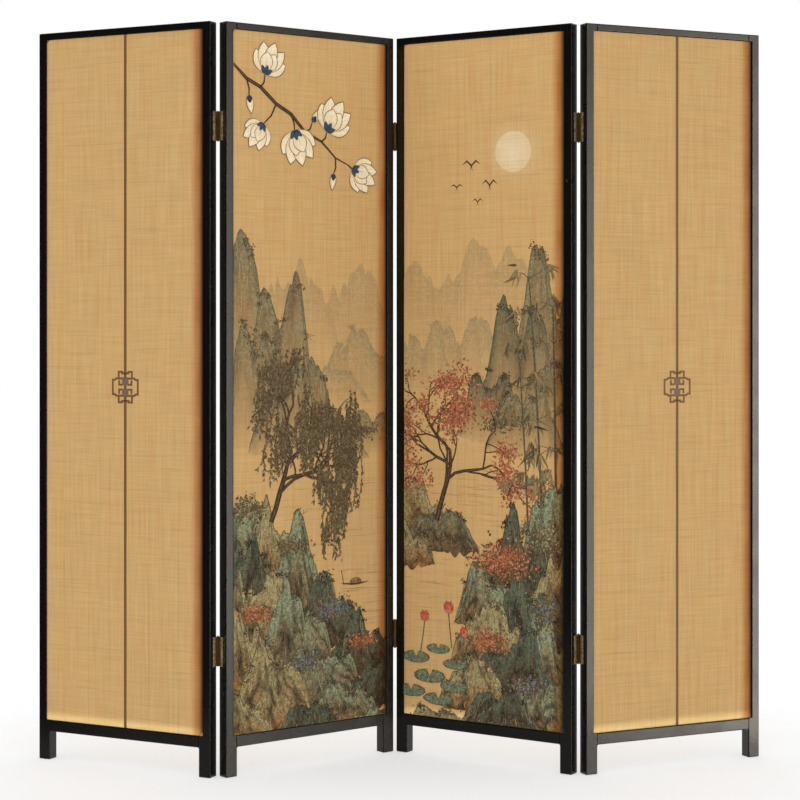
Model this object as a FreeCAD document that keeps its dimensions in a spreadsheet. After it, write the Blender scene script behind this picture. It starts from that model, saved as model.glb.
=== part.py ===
"""Byobu folding screen: four lacquered wooden panels covered in woven cloth, hinged in a zigzag.

Millimetres, +Z up. The origin is on the floor, in the middle of the screen's footprint, and the
front of the screen looks towards -Y. Panel 1 is the left one, seen from the front.
Each panel is drawn in its own frame: x runs along it from its left edge, y = 0 is the middle of
its thickness, with the front at -y, and z = 0 is the floor.
"""

import FreeCAD, Part
import math
import os
import re
import Sketcher
from FreeCAD import Placement, Rotation, Vector

PANEL_NUMBERS = range(1, 5)
JOINT_NUMBERS = PANEL_NUMBERS[:-1]
QUARTER_TURN = 90.0
HALF_TURN = 180.0
FULL_TURN = 360.0
MEASURING_ERROR_SHARE = 1e-6
ALONG = Vector(1, 0, 0)
ACROSS = Vector(0, 1, 0)
UP = Vector(0, 0, 1)

SIZES = (
    ("panel_width", 498.0, "one panel over its two posts"),
    ("panel_height", 1800.0, "floor to the top of the posts"),
    ("post_width", 32.0, "front face of a post"),
    ("post_depth", 30.0, "thickness of the frame"),
    ("arris_radius", 2.5, "rounding of the lacquered outer edges"),
    ("inner_arris_radius", 2.5, "rounding of the edges beside the covering"),
    ("top_rail_height", 27.0, "top rail"),
    ("bottom_rail_height", 38.0, "bottom rail"),
    ("foot_height", 70.0, "floor to the underside of the bottom rail"),
    ("cove_radius", 4.0, "hollow corner where the bottom rail meets a post"),
    ("cove_lip", 0.6, "thickness left at the lower end of that corner"),
    ("rabbet_width", 10.0, "how far the covering laps over the frame"),
    ("rabbet_depth", 7.0, "depth of the rabbet from the face of the frame"),
    ("tenon_length", 18.0, "rail tenon into the post"),
    ("tenon_thickness", 10.0, "rail tenon, across the frame"),
    ("tenon_shoulder", 6.0, "rail edge to the edge of its tenon"),
    ("tenon_clearance", 0.2, "glue room at the tenon's end and edges"),
    ("lath_width", 14.0, "laths of the core lattice"),
    ("lattice_clearance", 0.5, "core lattice to the frame"),
    ("backing_thickness", 4.0, "board glued on each side of the core"),
    ("backing_clearance", 0.5, "board edge to the wall of the rabbet"),
    ("cloth_thickness", 1.0, "woven covering glued on the board"),
    ("hinge_height", 70.0, "brass butt hinge"),
    ("hinge_top_inset", 248.0, "top of the posts to the middle of the upper hinge"),
    ("hinge_bottom_inset", 298.0, "floor to the middle of the lower hinge"),
    ("hinge_face_gap", 1.6, "side of a post to the hinge's middle plane"),
    ("hinge_axis_offset", 3.2, "face of the frame to the axis of the hinge pin"),
    ("leaf_depth", 17.0, "leaf from the face of the frame inwards"),
    ("leaf_thickness", 1.3, "leaf plate"),
    ("knuckle_radius", 2.8, "outside of the knuckles"),
    ("knuckle_clearance", 0.2, "between the knuckles of the two leaves"),
    ("pin_radius", 1.1, "hinge pin"),
    ("pin_clearance", 0.05, "pin to the bore of the knuckles, all round"),
    ("pin_button_radius", 2.1, "rounded button on each end of the pin"),
    ("pin_button_height", 1.8, "height of that button"),
    ("screw_pitch", 24.0, "from one screw of a leaf to the next"),
    ("screw_inset", 8.5, "free edge of the leaf to the line of screws"),
    ("screw_shank_radius", 1.4, "screw below its head"),
    ("screw_head_radius", 2.6, "countersunk head"),
    ("screw_length", 15.0, "screw from head to point"),
    ("screw_point_length", 3.0, "tapered point of the screw"),
    ("screw_slot_width", 0.8, "driver slot"),
    ("screw_slot_depth", 0.6, "driver slot"),
    ("screw_clearance", 0.05, "screw to its holes and countersink"),
    ("pilot_overrun", 1.0, "pilot hole below the screw's point"),
    ("panel_2_heading", 37.0, "degrees from the picture plane, seen from above"),
    ("fold_1_angle", 116.5, "degrees between panels 1 and 2, behind them"),
    ("fold_2_angle", 110.5, "degrees between panels 2 and 3, in front of them"),
    ("fold_3_angle", 122.5, "degrees between panels 3 and 4, behind them"),
)

WORKED_OUT = (
    ("opening_width", "panel_width - 2 * post_width"),
    ("opening_low", "foot_height + bottom_rail_height"),
    ("opening_height", "panel_height - top_rail_height - opening_low"),
    ("covering_left", "post_width - rabbet_width + backing_clearance"),
    ("covering_low", "opening_low - rabbet_width + backing_clearance"),
    ("covering_width", "panel_width - 2 * covering_left"),
    ("covering_height", "opening_height + 2 * (rabbet_width - backing_clearance)"),
    ("web_depth", "post_depth - 2 * rabbet_depth"),
    ("lattice_width", "opening_width - 2 * lattice_clearance"),
    ("lattice_height", "opening_height - 2 * lattice_clearance"),
    ("cell_width", "(lattice_width - (cell_columns + 1) * lath_width) / cell_columns"),
    ("cell_height", "(lattice_height - (cell_rows + 1) * lath_width) / cell_rows"),
    ("knuckle_height", "hinge_height / knuckle_count"),
    ("bore_radius", "pin_radius + pin_clearance"),
    ("leaf_reach", "hinge_axis_offset + leaf_depth"),
    ("leaf_face", "hinge_face_gap - leaf_thickness"),
    ("screw_line", "leaf_reach - screw_inset"),
    ("pilot_radius", "screw_shank_radius + screw_clearance"),
    ("pilot_depth", "screw_length - leaf_thickness + pilot_overrun"),
)

COUNTS = (
    ("cell_columns", 3, "openings of the core lattice, side by side"),
    ("cell_rows", 12, "openings of the core lattice, one above the other"),
    ("knuckle_count", 5, "knuckles of a hinge, counted over both leaves"),
    ("screws_per_leaf", 3, "countersunk screws"),
)

os.makedirs("parts", exist_ok=True)
doc = FreeCAD.newDocument("folding_screen")
sheet = doc.addObject("Spreadsheet::Sheet", "sizes")

row = 0
for alias, value, meaning in SIZES + COUNTS:
    row += 1
    sheet.set(f"A{row}", alias)
    sheet.set(f"B{row}", str(value))
    sheet.setAlias(f"B{row}", alias)
    sheet.set(f"C{row}", meaning)
for alias, worked_out in WORKED_OUT:
    row += 1
    sheet.set(f"A{row}", alias)
    sheet.set(f"B{row}", "=" + worked_out)
    sheet.setAlias(f"B{row}", alias)
doc.recompute()


def formula(text):
    """Turns a sum of the sheet's words into the expression that an object's property reads."""
    return re.sub(r"[a-z]\w*", lambda word: "sizes." + word.group(), text)


def size(text):
    """The value of a word of the sheet, or of a sum of its words, in millimetres or degrees."""
    return float(sheet.evalExpression(formula(text)))


def bind(thing, name, text):
    thing.setExpression(name, formula(text))


def new_body(name):
    body = doc.addObject("PartDesign::Body", name)
    body.Label = name
    return body


def new_sketch(body, name, role, offset=None):
    """A sketch on one of the body's own origin planes, moved along its normal by offset."""
    sketch = body.newObject("Sketcher::SketchObject", name)
    plane = next(face for face in body.Origin.OriginFeatures if face.Role == role)
    sketch.AttachmentSupport = [(plane, "")]
    sketch.MapMode = "FlatFace"
    if offset:
        bind(sketch, "AttachmentOffset.Base.z", offset)
    return sketch


def name_constraint(sketch, index, name, text):
    sketch.renameConstraint(index, name)
    bind(sketch, "Constraints." + name, text)


def fix_point(sketch, geometry, point, name, x, y):
    """Places a point of the sketch by its distances from the sketch's origin."""
    for kind, text in (("DistanceX", x), ("DistanceY", y)):
        index = sketch.addConstraint(
            Sketcher.Constraint(kind, -1, 1, geometry, point, size(text))
        )
        name_constraint(sketch, index, f"{name}_{kind[-1].lower()}", text)


def add_rectangle(sketch, name, left, low, width, height):
    """A rectangle with its sides bound to the sheet, from its lower left corner."""
    x0, y0 = size(left), size(low)
    x1, y1 = x0 + size(width), y0 + size(height)
    corners = [Vector(x0, y0, 0), Vector(x1, y0, 0), Vector(x1, y1, 0), Vector(x0, y1, 0)]
    first = sketch.GeometryCount
    for index, corner in enumerate(corners):
        following = corners[(index + 1) % len(corners)]
        sketch.addGeometry(Part.LineSegment(corner, following))
    for index in range(len(corners)):
        following = first + (index + 1) % len(corners)
        sketch.addConstraint(Sketcher.Constraint("Coincident", first + index, 2, following, 1))
        level = "Vertical" if index % 2 else "Horizontal"
        sketch.addConstraint(Sketcher.Constraint(level, first + index))
    fix_point(sketch, first, 1, name + "_corner", left, low)
    index = sketch.addConstraint(Sketcher.Constraint("DistanceX", first, 1, first, 2, x1 - x0))
    name_constraint(sketch, index, name + "_width", width)
    index = sketch.addConstraint(
        Sketcher.Constraint("DistanceY", first + 1, 1, first + 1, 2, y1 - y0)
    )
    name_constraint(sketch, index, name + "_height", height)


def add_circle(sketch, name, x, y, radius):
    centre = Vector(size(x), size(y), 0)
    index = sketch.addGeometry(Part.Circle(centre, UP, size(radius)))
    fix_point(sketch, index, 3, name + "_centre", x, y)
    constraint = sketch.addConstraint(Sketcher.Constraint("Radius", index, size(radius)))
    name_constraint(sketch, constraint, name + "_radius", radius)


def add_outline(sketch, name, points):
    """A closed outline of straight lines, each corner fixed by two words or sums of the sheet."""
    corners = [Vector(size(x), size(y), 0) for x, y in points]
    first = sketch.GeometryCount
    for index, corner in enumerate(corners):
        following = corners[(index + 1) % len(corners)]
        sketch.addGeometry(Part.LineSegment(corner, following))
    for index, (x, y) in enumerate(points):
        following = first + (index + 1) % len(corners)
        sketch.addConstraint(Sketcher.Constraint("Coincident", first + index, 2, following, 1))
        fix_point(sketch, first + index, 1, f"{name}_{index}", x, y)


def add_pad(body, sketch, name, length, symmetric=False):
    pad = body.newObject("PartDesign::Pad", name)
    pad.Profile = sketch
    bind(pad, "Length", length)
    if symmetric:
        pad.SideType = "Symmetric"
    doc.recompute()
    return pad


def add_pocket(body, sketch, name, depth=None, along_normal=False):
    """A pocket against the sketch's normal, or right through both ways without a depth."""
    before = body.Shape.Volume
    pocket = body.newObject("PartDesign::Pocket", name)
    pocket.Profile = sketch
    pocket.Reversed = along_normal
    if depth:
        bind(pocket, "Length", depth)
    else:
        pocket.Type = "ThroughAll"
        pocket.SideType = "Symmetric"
    doc.recompute()
    expect_change(body, before, name)
    return pocket


def expect_change(body, volume_before, name):
    """Stops the build where a feature has left its body as it was."""
    if abs(body.Shape.Volume - volume_before) < volume_before * MEASURING_ERROR_SHARE:
        raise ValueError(f"{body.Label}: {name} changes nothing")


def mirror(body, feature, name, role):
    """Repeats a feature on the other side of one of the body's origin planes."""
    before = body.Shape.Volume
    mirrored = body.newObject("PartDesign::Mirrored", name)
    mirrored.Originals = [feature]
    plane = next(face for face in body.Origin.OriginFeatures if face.Role == role)
    mirrored.MirrorPlane = (plane, [""])
    body.Tip = mirrored
    doc.recompute()
    expect_change(body, before, name)
    return mirrored


def round_edges(body, feature, name, radius, wanted):
    """Rounds the edges of a feature whose middle point passes the test in wanted."""
    picked = []
    for index, edge in enumerate(feature.Shape.Edges, 1):
        middle = edge.valueAt((edge.FirstParameter + edge.LastParameter) / 2)
        if wanted(middle):
            picked.append(f"Edge{index}")
    fillet = body.newObject("PartDesign::Fillet", name)
    fillet.Base = (feature, picked)
    bind(fillet, "Radius", radius)
    body.Tip = fillet
    doc.recompute()
    return fillet


def same(first, second):
    """Whether two lengths agree, apart from a measuring error."""
    return abs(first - second) < size("panel_height") * MEASURING_ERROR_SHARE


# The posts, rails, boards and cloth of one panel


RAIL_SEATS = (
    ("bottom", "foot_height", "bottom_rail_height"),
    ("top", "panel_height - top_rail_height", "top_rail_height"),
)


def make_post(name, hinged_edge):
    """A post in its own frame, with its outer side at x = 0 and its foot at z = 0.

    The rabbets for the coverings are stopped, so that the ends keep their full section.
    hinged_edge is -1 or +1 for hinges along the -y or +y edge of the outer side, or 0.
    """
    body = new_body(name)
    section = new_sketch(body, name + "_section", "XY_Plane")
    add_rectangle(section, "section", "0", "-post_depth / 2", "post_width", "post_depth")
    block = add_pad(body, section, name + "_block", "panel_height")
    round_edges(body, block, name + "_arrises", "arris_radius", lambda middle: True)

    rabbet = new_sketch(body, name + "_rabbet_outline", "XZ_Plane", "post_depth / 2")
    add_rectangle(
        rabbet,
        "rabbet",
        "post_width - rabbet_width",
        "opening_low - rabbet_width",
        "rabbet_width",
        "opening_height + 2 * rabbet_width",
    )
    front = add_pocket(body, rabbet, name + "_front_rabbet", "rabbet_depth")
    back = mirror(body, front, name + "_back_rabbet", "XZ_Plane")
    mouth_x, face_y = size("post_width - rabbet_width"), size("post_depth / 2")
    round_edges(
        body,
        back,
        name + "_inner_arrises",
        "inner_arris_radius",
        lambda middle: same(middle.x, mouth_x) and same(abs(middle.y), face_y),
    )

    sockets = new_sketch(body, name + "_mortise_outline", "YZ_Plane", "post_width")
    for rail, low, height in RAIL_SEATS:
        add_rectangle(
            sockets,
            rail,
            "-tenon_thickness / 2 - tenon_clearance",
            f"{low} + tenon_shoulder - tenon_clearance",
            "tenon_thickness + 2 * tenon_clearance",
            f"{height} - 2 * tenon_shoulder + 2 * tenon_clearance",
        )
    add_pocket(body, sockets, name + "_mortises", "tenon_length + tenon_clearance")

    if hinged_edge:
        drill_post(body, name, hinged_edge)
    return body


def screw_heights():
    """Height of each screw of a leaf above the middle of its hinge, as text for the sheet."""
    steps = range(int(size("screws_per_leaf")))
    return [f"({step} - (screws_per_leaf - 1) / 2) * screw_pitch" for step in steps]


def hinge_heights():
    """Height of the middle of each hinge above the floor, by the hinge's name."""
    return {
        "upper": "panel_height - hinge_top_inset",
        "lower": "hinge_bottom_inset",
    }


def drill_post(body, name, hinged_edge):
    """Pilot holes for the hinge screws, from the outer side of the post."""
    holes = new_sketch(body, name + "_pilot_outline", "YZ_Plane")
    across = "post_depth / 2 - screw_line + hinge_axis_offset"
    if hinged_edge < 0:
        across = f"-({across})"
    for hinge, middle in hinge_heights().items():
        for index, above in enumerate(screw_heights()):
            add_circle(holes, f"{hinge}_{index}", across, f"{middle} + {above}", "pilot_radius")
    add_pocket(body, holes, name + "_pilot_holes", "pilot_depth", along_normal=True)


def make_rail(name, height, outer_edge, rabbet_low, rabbet_mouth):
    """A rail in its own frame, x = 0 at its middle and z = 0 at its lower edge.

    outer_edge is the height of the edge that is rounded over, front and back, and rabbet_mouth
    that of the edge beside the covering.
    """
    body = new_body(name)
    section = new_sketch(body, name + "_section", "YZ_Plane")
    add_rectangle(section, "section", "-post_depth / 2", "0", "post_depth", height)
    bar = add_pad(body, section, name + "_bar", "opening_width", symmetric=True)
    edge = size(outer_edge)
    round_edges(
        body,
        bar,
        name + "_arrises",
        "arris_radius",
        lambda middle: same(middle.x, 0) and same(middle.z, edge),
    )
    outline = new_sketch(body, name + "_rabbet_outline", "YZ_Plane")
    back = "post_depth / 2 - rabbet_depth"
    for side, left in (("front", "-post_depth / 2"), ("back", back)):
        add_rectangle(outline, side, left, rabbet_low, "rabbet_depth", "rabbet_width")
    rabbets = add_pocket(body, outline, name + "_rabbets")
    mouth, face_y = size(rabbet_mouth), size("post_depth / 2")
    round_edges(
        body,
        rabbets,
        name + "_inner_arrises",
        "inner_arris_radius",
        lambda middle: same(middle.z, mouth) and same(abs(middle.y), face_y),
    )
    add_tenons(body, name, height)
    return body


def make_top_rail(name):
    return make_rail(name, "top_rail_height", "top_rail_height", "0", "rabbet_width")


def make_bottom_rail(name):
    """The bottom rail, whose underside runs down to each post in a small cove."""
    rabbet_low = "bottom_rail_height - rabbet_width"
    body = make_rail(name, "bottom_rail_height", "0", rabbet_low, rabbet_low)
    outline = new_sketch(body, name + "_cove_outline", "XZ_Plane")
    draw_cove(outline)
    cove = add_pad(
        body, outline, name + "_right_cove", "post_depth - 2 * arris_radius", symmetric=True
    )
    mirror(body, cove, name + "_left_cove", "YZ_Plane")
    return body


def draw_cove(sketch):
    """The hollow corner below the right end of the bottom rail, and its seat inside the rail."""
    radius = size("cove_radius")
    hollow_x = size("opening_width / 2 - cove_lip - cove_radius")
    centre = Part.Circle(Vector(hollow_x, -radius, 0), UP, radius)
    arc = sketch.addGeometry(Part.ArcOfCircle(centre, 0, math.pi / 2))
    corners = (
        ("hollow_top", "opening_width / 2 - cove_lip - cove_radius", "0"),
        ("seat_left", "opening_width / 2 - cove_lip - cove_radius", "cove_radius"),
        ("seat_right", "opening_width / 2", "cove_radius"),
        ("lip_outside", "opening_width / 2", "-cove_radius"),
        ("lip_inside", "opening_width / 2 - cove_lip", "-cove_radius"),
    )
    for (_, x0, y0), (_, x1, y1) in zip(corners, corners[1:]):
        start, finish = Vector(size(x0), size(y0), 0), Vector(size(x1), size(y1), 0)
        line = sketch.addGeometry(Part.LineSegment(start, finish))
        if line > arc + 1:
            sketch.addConstraint(Sketcher.Constraint("Coincident", line - 1, 2, line, 1))
    for index, (name, x, y) in enumerate(corners[:-1]):
        fix_point(sketch, arc + 1 + index, 1, name, x, y)
    fix_point(sketch, line, 2, *corners[-1])
    sketch.addConstraint(Sketcher.Constraint("Coincident", arc, 2, arc + 1, 1))
    sketch.addConstraint(Sketcher.Constraint("Coincident", arc, 1, line, 2))
    radius_constraint = sketch.addConstraint(Sketcher.Constraint("Radius", arc, radius))
    name_constraint(sketch, radius_constraint, "hollow_radius", "cove_radius")


def add_tenons(body, name, height):
    outline = new_sketch(body, name + "_tenon_outline", "YZ_Plane")
    add_rectangle(
        outline,
        "tenon",
        "-tenon_thickness / 2",
        "tenon_shoulder",
        "tenon_thickness",
        f"{height} - 2 * tenon_shoulder",
    )
    add_pad(body, outline, name + "_tenons", "opening_width + 2 * tenon_length", symmetric=True)


def make_lattice(name):
    """The core: a light lattice of laths, drawn from its lower left corner."""
    body = new_body(name)
    outline = new_sketch(body, name + "_outline", "XZ_Plane")
    add_rectangle(outline, "outline", "0", "0", "lattice_width", "lattice_height")
    add_pad(body, outline, name + "_sheet", "web_depth", symmetric=True)
    opening = new_sketch(body, name + "_cell_outline", "XZ_Plane")
    add_rectangle(opening, "cell", "lath_width", "lath_width", "cell_width", "cell_height")
    cell = add_pocket(body, opening, name + "_cell")
    cells = body.newObject("PartDesign::LinearPattern", name + "_cells")
    cells.Originals = [cell]
    cells.Direction = (opening, ["H_Axis"])
    cells.Direction2 = (opening, ["V_Axis"])
    cells.Mode = "Spacing"
    cells.Mode2 = "Spacing"
    bind(cells, "Offset", "cell_width + lath_width")
    bind(cells, "Offset2", "cell_height + lath_width")
    bind(cells, "Occurrences", "cell_columns")
    bind(cells, "Occurrences2", "cell_rows")
    body.Tip = cells
    doc.recompute()
    return body


def make_board(name, thickness):
    """A flat rectangle as large as the covering: a backing board, or the cloth glued to it."""
    board = doc.addObject("Part::Box", name)
    board.Label = name
    bind(board, "Length", "covering_width")
    bind(board, "Width", thickness)
    bind(board, "Height", "covering_height")
    return board


# The hinges and their screws


def make_leaf(name, keeps_middle):
    """A hinge leaf in the frame of the hinge: the pin is the z axis and the leaf lies at -x.

    The plate is screwed to the side of a post, which begins at x = -hinge_face_gap. The leaf
    with the middle knuckle has one knuckle more than the other.
    """
    body = new_body(name)
    plate = new_sketch(body, name + "_plate_outline", "XY_Plane")
    add_rectangle(
        plate, "plate", "-hinge_face_gap", "-leaf_reach", "leaf_thickness", "leaf_reach"
    )
    add_pad(body, plate, name + "_plate", "hinge_height", symmetric=True)
    barrel = new_sketch(body, name + "_barrel_outline", "XY_Plane")
    add_circle(barrel, "barrel", "0", "0", "knuckle_radius")
    add_pad(body, barrel, name + "_barrel", "hinge_height", symmetric=True)
    bore = new_sketch(body, name + "_bore_outline", "XY_Plane")
    add_circle(bore, "bore", "0", "0", "bore_radius")
    add_pocket(body, bore, name + "_bore")

    first_gap = 1 if keeps_middle else 0
    gap_outline = new_sketch(body, name + "_gap_outline", "XZ_Plane", "-2 * knuckle_radius")
    for gap in range(first_gap, int(size("knuckle_count")), 2):
        add_rectangle(
            gap_outline,
            f"gap_{gap}",
            "-2 * knuckle_radius",
            f"-hinge_height / 2 + {gap} * knuckle_height - knuckle_clearance",
            "4 * knuckle_radius",
            "knuckle_height + 2 * knuckle_clearance",
        )
    gap_depth = "2 * knuckle_radius + hinge_axis_offset"
    add_pocket(body, gap_outline, name + "_gaps", gap_depth, along_normal=True)

    holes = new_sketch(body, name + "_hole_outline", "YZ_Plane", "-leaf_face")
    for index, height in enumerate(screw_heights()):
        add_circle(holes, f"screw_{index}", "-screw_line", height, "pilot_radius")
    doc.recompute()
    drilled = body.newObject("PartDesign::Hole", name + "_screw_holes")
    drilled.Profile = holes
    drilled.DepthType = "ThroughAll"
    bind(drilled, "Diameter", "2 * pilot_radius")
    drilled.HoleCutType = "Countersink"
    drilled.HoleCutCustomValues = True
    bind(drilled, "HoleCutDiameter", "2 * (screw_head_radius + screw_clearance)")
    drilled.HoleCutCountersinkAngle = QUARTER_TURN
    doc.recompute()
    return body


def make_pin(name):
    """The hinge pin on the z axis, with a rounded button at each end."""
    body = new_body(name)
    outline = new_sketch(body, name + "_outline", "XZ_Plane")
    end = "hinge_height / 2 + knuckle_clearance"
    waist = f"{end} + pin_button_height / 2"
    tip = f"{end} + pin_button_height"
    above = (
        ("pin_radius", end),
        ("pin_button_radius", end),
        ("pin_button_radius", waist),
        ("pin_button_radius / 2", tip),
        ("0", tip),
    )
    below = tuple((x, f"-({height})") for x, height in reversed(above))
    add_outline(outline, "pin", above + below)
    turned = body.newObject("PartDesign::Revolution", name + "_turned")
    turned.Profile = outline
    turned.ReferenceAxis = (outline, ["V_Axis"])
    turned.Angle = FULL_TURN
    doc.recompute()
    return body


def make_screw(name):
    """A countersunk slotted screw on the z axis, its head's face at z = 0 and its point below."""
    body = new_body(name)
    outline = new_sketch(body, name + "_outline", "XZ_Plane")
    add_outline(
        outline,
        "screw",
        (
            ("0", "0"),
            ("screw_head_radius", "0"),
            ("screw_shank_radius", "-(screw_head_radius - screw_shank_radius)"),
            ("screw_shank_radius", "-(screw_length - screw_point_length)"),
            ("0", "-screw_length"),
        ),
    )
    turned = body.newObject("PartDesign::Revolution", name + "_turned")
    turned.Profile = outline
    turned.ReferenceAxis = (outline, ["V_Axis"])
    turned.Angle = FULL_TURN
    doc.recompute()
    slot = new_sketch(body, name + "_slot_outline", "XY_Plane")
    add_rectangle(
        slot,
        "slot",
        "-screw_head_radius",
        "-screw_slot_width / 2",
        "2 * screw_head_radius",
        "screw_slot_width",
    )
    add_pocket(body, slot, name + "_slot", "screw_slot_depth")
    return body


def make_screw_group(name, screw, places):
    """All the screws of one panel, in the panel's frame, as separate solids in one node."""
    group = doc.addObject("Part::Feature", name)
    group.Label = name
    group.Shape = Part.makeCompound([moved(screw.Shape, place) for place in places])
    return group


def moved(shape, place):
    copy = shape.copy()
    copy.Placement = place
    return copy


# Where the panels stand


def turned_about_z(degrees):
    return Placement(Vector(0, 0, 0), Rotation(UP, degrees))


def headings():
    """Each panel's direction seen from above, worked out from panel 2 and the three folds."""
    second = size("panel_2_heading")
    first = second - (HALF_TURN - size("fold_1_angle"))
    third = second - (HALF_TURN - size("fold_2_angle"))
    fourth = third + (HALF_TURN - size("fold_3_angle"))
    return dict(zip(PANEL_NUMBERS, (first, second, third, fourth)))


def hinge_side(joint):
    """+1 where the knuckles are at the back of the screen, -1 where they are at the front."""
    return 1 if joint % 2 else -1


def pin_in_left_panel(joint):
    across = hinge_side(joint) * size("post_depth / 2 + hinge_axis_offset")
    return Vector(size("panel_width + hinge_face_gap"), across, 0)


def pin_in_right_panel(joint):
    across = hinge_side(joint) * size("post_depth / 2 + hinge_axis_offset")
    return Vector(-size("hinge_face_gap"), across, 0)


def stand_panels():
    """Places the four panels, joined at their pins, with the footprint's middle at the origin."""
    heading = headings()
    places = {PANEL_NUMBERS[0]: turned_about_z(heading[PANEL_NUMBERS[0]])}
    for joint in JOINT_NUMBERS:
        pin = places[joint].multVec(pin_in_left_panel(joint))
        turn = turned_about_z(heading[joint + 1])
        turn.Base = pin - turn.multVec(pin_in_right_panel(joint))
        places[joint + 1] = turn
    radius = size("arris_radius")
    corner_x = (radius, size("panel_width") - radius)
    corner_y = size("post_depth / 2") - radius
    corners = [
        place.multVec(Vector(x, y, 0))
        for place in places.values()
        for x in corner_x
        for y in (-corner_y, corner_y)
    ]
    middle_x = (min(c.x for c in corners) + max(c.x for c in corners)) / 2
    middle_y = (min(c.y for c in corners) + max(c.y for c in corners)) / 2
    shift = Vector(-middle_x, -middle_y, 0)
    return {number: Placement(place.Base + shift, place.Rotation) for number, place in places.items()}


def shifted(x, y, z):
    return Placement(Vector(x, y, z), Rotation())


panel_places = stand_panels()
nodes = []


def keep(thing, place):
    """Puts a finished piece in its place and lists it among the screen's nodes."""
    thing.Placement = place
    nodes.append(thing)


def build_panel(number):
    place = panel_places[number]
    left_side = hinge_side(number - 1) if number - 1 in JOINT_NUMBERS else 0
    right_side = hinge_side(number) if number in JOINT_NUMBERS else 0
    panel = f"panel_{number}"
    turned = Placement(Vector(size("panel_width"), 0, 0), Rotation(UP, HALF_TURN))
    keep(make_post(panel + "_left_post", left_side), place)
    keep(make_post(panel + "_right_post", -right_side), place * turned)

    middle = size("panel_width / 2")
    top_low = size("panel_height - top_rail_height")
    keep(make_top_rail(panel + "_top_rail"), place * shifted(middle, 0, top_low))
    bottom_low = size("foot_height")
    keep(make_bottom_rail(panel + "_bottom_rail"), place * shifted(middle, 0, bottom_low))

    clearance = size("lattice_clearance")
    lattice_place = shifted(size("post_width") + clearance, 0, size("opening_low") + clearance)
    keep(make_lattice(panel + "_core_lattice"), place * lattice_place)

    half_web, board = size("web_depth / 2"), size("backing_thickness")
    cloth = size("cloth_thickness")
    layers = (
        ("front_backing", "backing_thickness", -half_web - board),
        ("back_backing", "backing_thickness", half_web),
        ("front_cloth", "cloth_thickness", -half_web - board - cloth),
        ("back_cloth", "cloth_thickness", half_web + board),
    )
    for layer, thickness, y in layers:
        laid = shifted(size("covering_left"), y, size("covering_low"))
        keep(make_board(f"{panel}_{layer}", thickness), place * laid)


def hinge_places(joint):
    """The frame of each hinge as its two leaves have it, in the left and in the right panel."""
    flip = Rotation() if hinge_side(joint) > 0 else Rotation(ALONG, HALF_TURN)
    over = Rotation(ACROSS, HALF_TURN)
    places = {}
    for hinge, middle in hinge_heights().items():
        height = Vector(0, 0, size(middle))
        left = Placement(pin_in_left_panel(joint) + height, flip)
        right = Placement(pin_in_right_panel(joint) + height, flip * over)
        places[hinge] = (left, right)
    return places


def screws_in_leaf(leaf_place):
    """Places of a leaf's screws: heads in the countersinks, points towards the post."""
    aim = Rotation(ACROSS, QUARTER_TURN)
    x, y = -size("leaf_face + screw_clearance"), -size("screw_line")
    return [
        leaf_place * Placement(Vector(x, y, size(height)), aim) for height in screw_heights()
    ]


def build_hinges(joint, screw_places):
    for hinge, (left, right) in hinge_places(joint).items():
        name = f"hinge_{joint}_{hinge}"
        keep(make_leaf(name + "_left_leaf", True), panel_places[joint] * left)
        keep(make_leaf(name + "_right_leaf", False), panel_places[joint + 1] * right)
        keep(make_pin(name + "_pin"), panel_places[joint] * left)
        screw_places[joint] += screws_in_leaf(left)
        screw_places[joint + 1] += screws_in_leaf(right)


for number in PANEL_NUMBERS:
    build_panel(number)
screw_places = {number: [] for number in PANEL_NUMBERS}
for joint in JOINT_NUMBERS:
    build_hinges(joint, screw_places)
screw = make_screw("hinge_screw")
doc.recompute()
for number in PANEL_NUMBERS:
    group = make_screw_group(f"panel_{number}_hinge_screws", screw, screw_places[number])
    keep(group, panel_places[number])
doc.recompute()

for thing in doc.Objects:
    if "Invalid" in thing.State or "Error" in thing.State:
        raise ValueError(f"{thing.Label} failed: {thing.State}")
for node in nodes:
    if node.Shape.isNull() or not node.Shape.isValid():
        raise ValueError(f"{node.Label} has no valid shape")
for node in nodes:
    node.Shape.exportStep(f"parts/{node.Label}.step")

for joint in JOINT_NUMBERS:
    pin = panel_places[joint].multVec(pin_in_left_panel(joint))
    print(f"joint {joint}: pin at x {pin.x:.3f}, y {pin.y:.3f}")
print(f"{len(nodes)} nodes")
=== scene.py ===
import math
import random

import bpy
from mathutils import Matrix, Vector, noise


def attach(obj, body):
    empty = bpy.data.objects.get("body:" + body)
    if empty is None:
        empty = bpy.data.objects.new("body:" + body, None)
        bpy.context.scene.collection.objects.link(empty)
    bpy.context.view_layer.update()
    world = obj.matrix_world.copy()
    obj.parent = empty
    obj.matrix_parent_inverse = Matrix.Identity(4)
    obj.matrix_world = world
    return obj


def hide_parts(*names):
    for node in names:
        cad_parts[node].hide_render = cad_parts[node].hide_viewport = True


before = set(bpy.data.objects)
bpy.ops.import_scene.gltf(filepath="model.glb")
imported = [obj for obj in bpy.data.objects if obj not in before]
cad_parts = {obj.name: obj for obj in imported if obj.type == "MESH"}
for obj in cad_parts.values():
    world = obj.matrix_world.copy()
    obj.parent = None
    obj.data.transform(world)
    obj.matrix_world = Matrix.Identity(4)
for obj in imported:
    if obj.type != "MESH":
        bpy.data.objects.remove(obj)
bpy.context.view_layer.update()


# Frames
# Four posts and rails to a panel, cut from straight-grained wood and tenoned together, then
# brushed with black lacquer and rubbed to a satin gloss through which the grain just shows.

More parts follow.
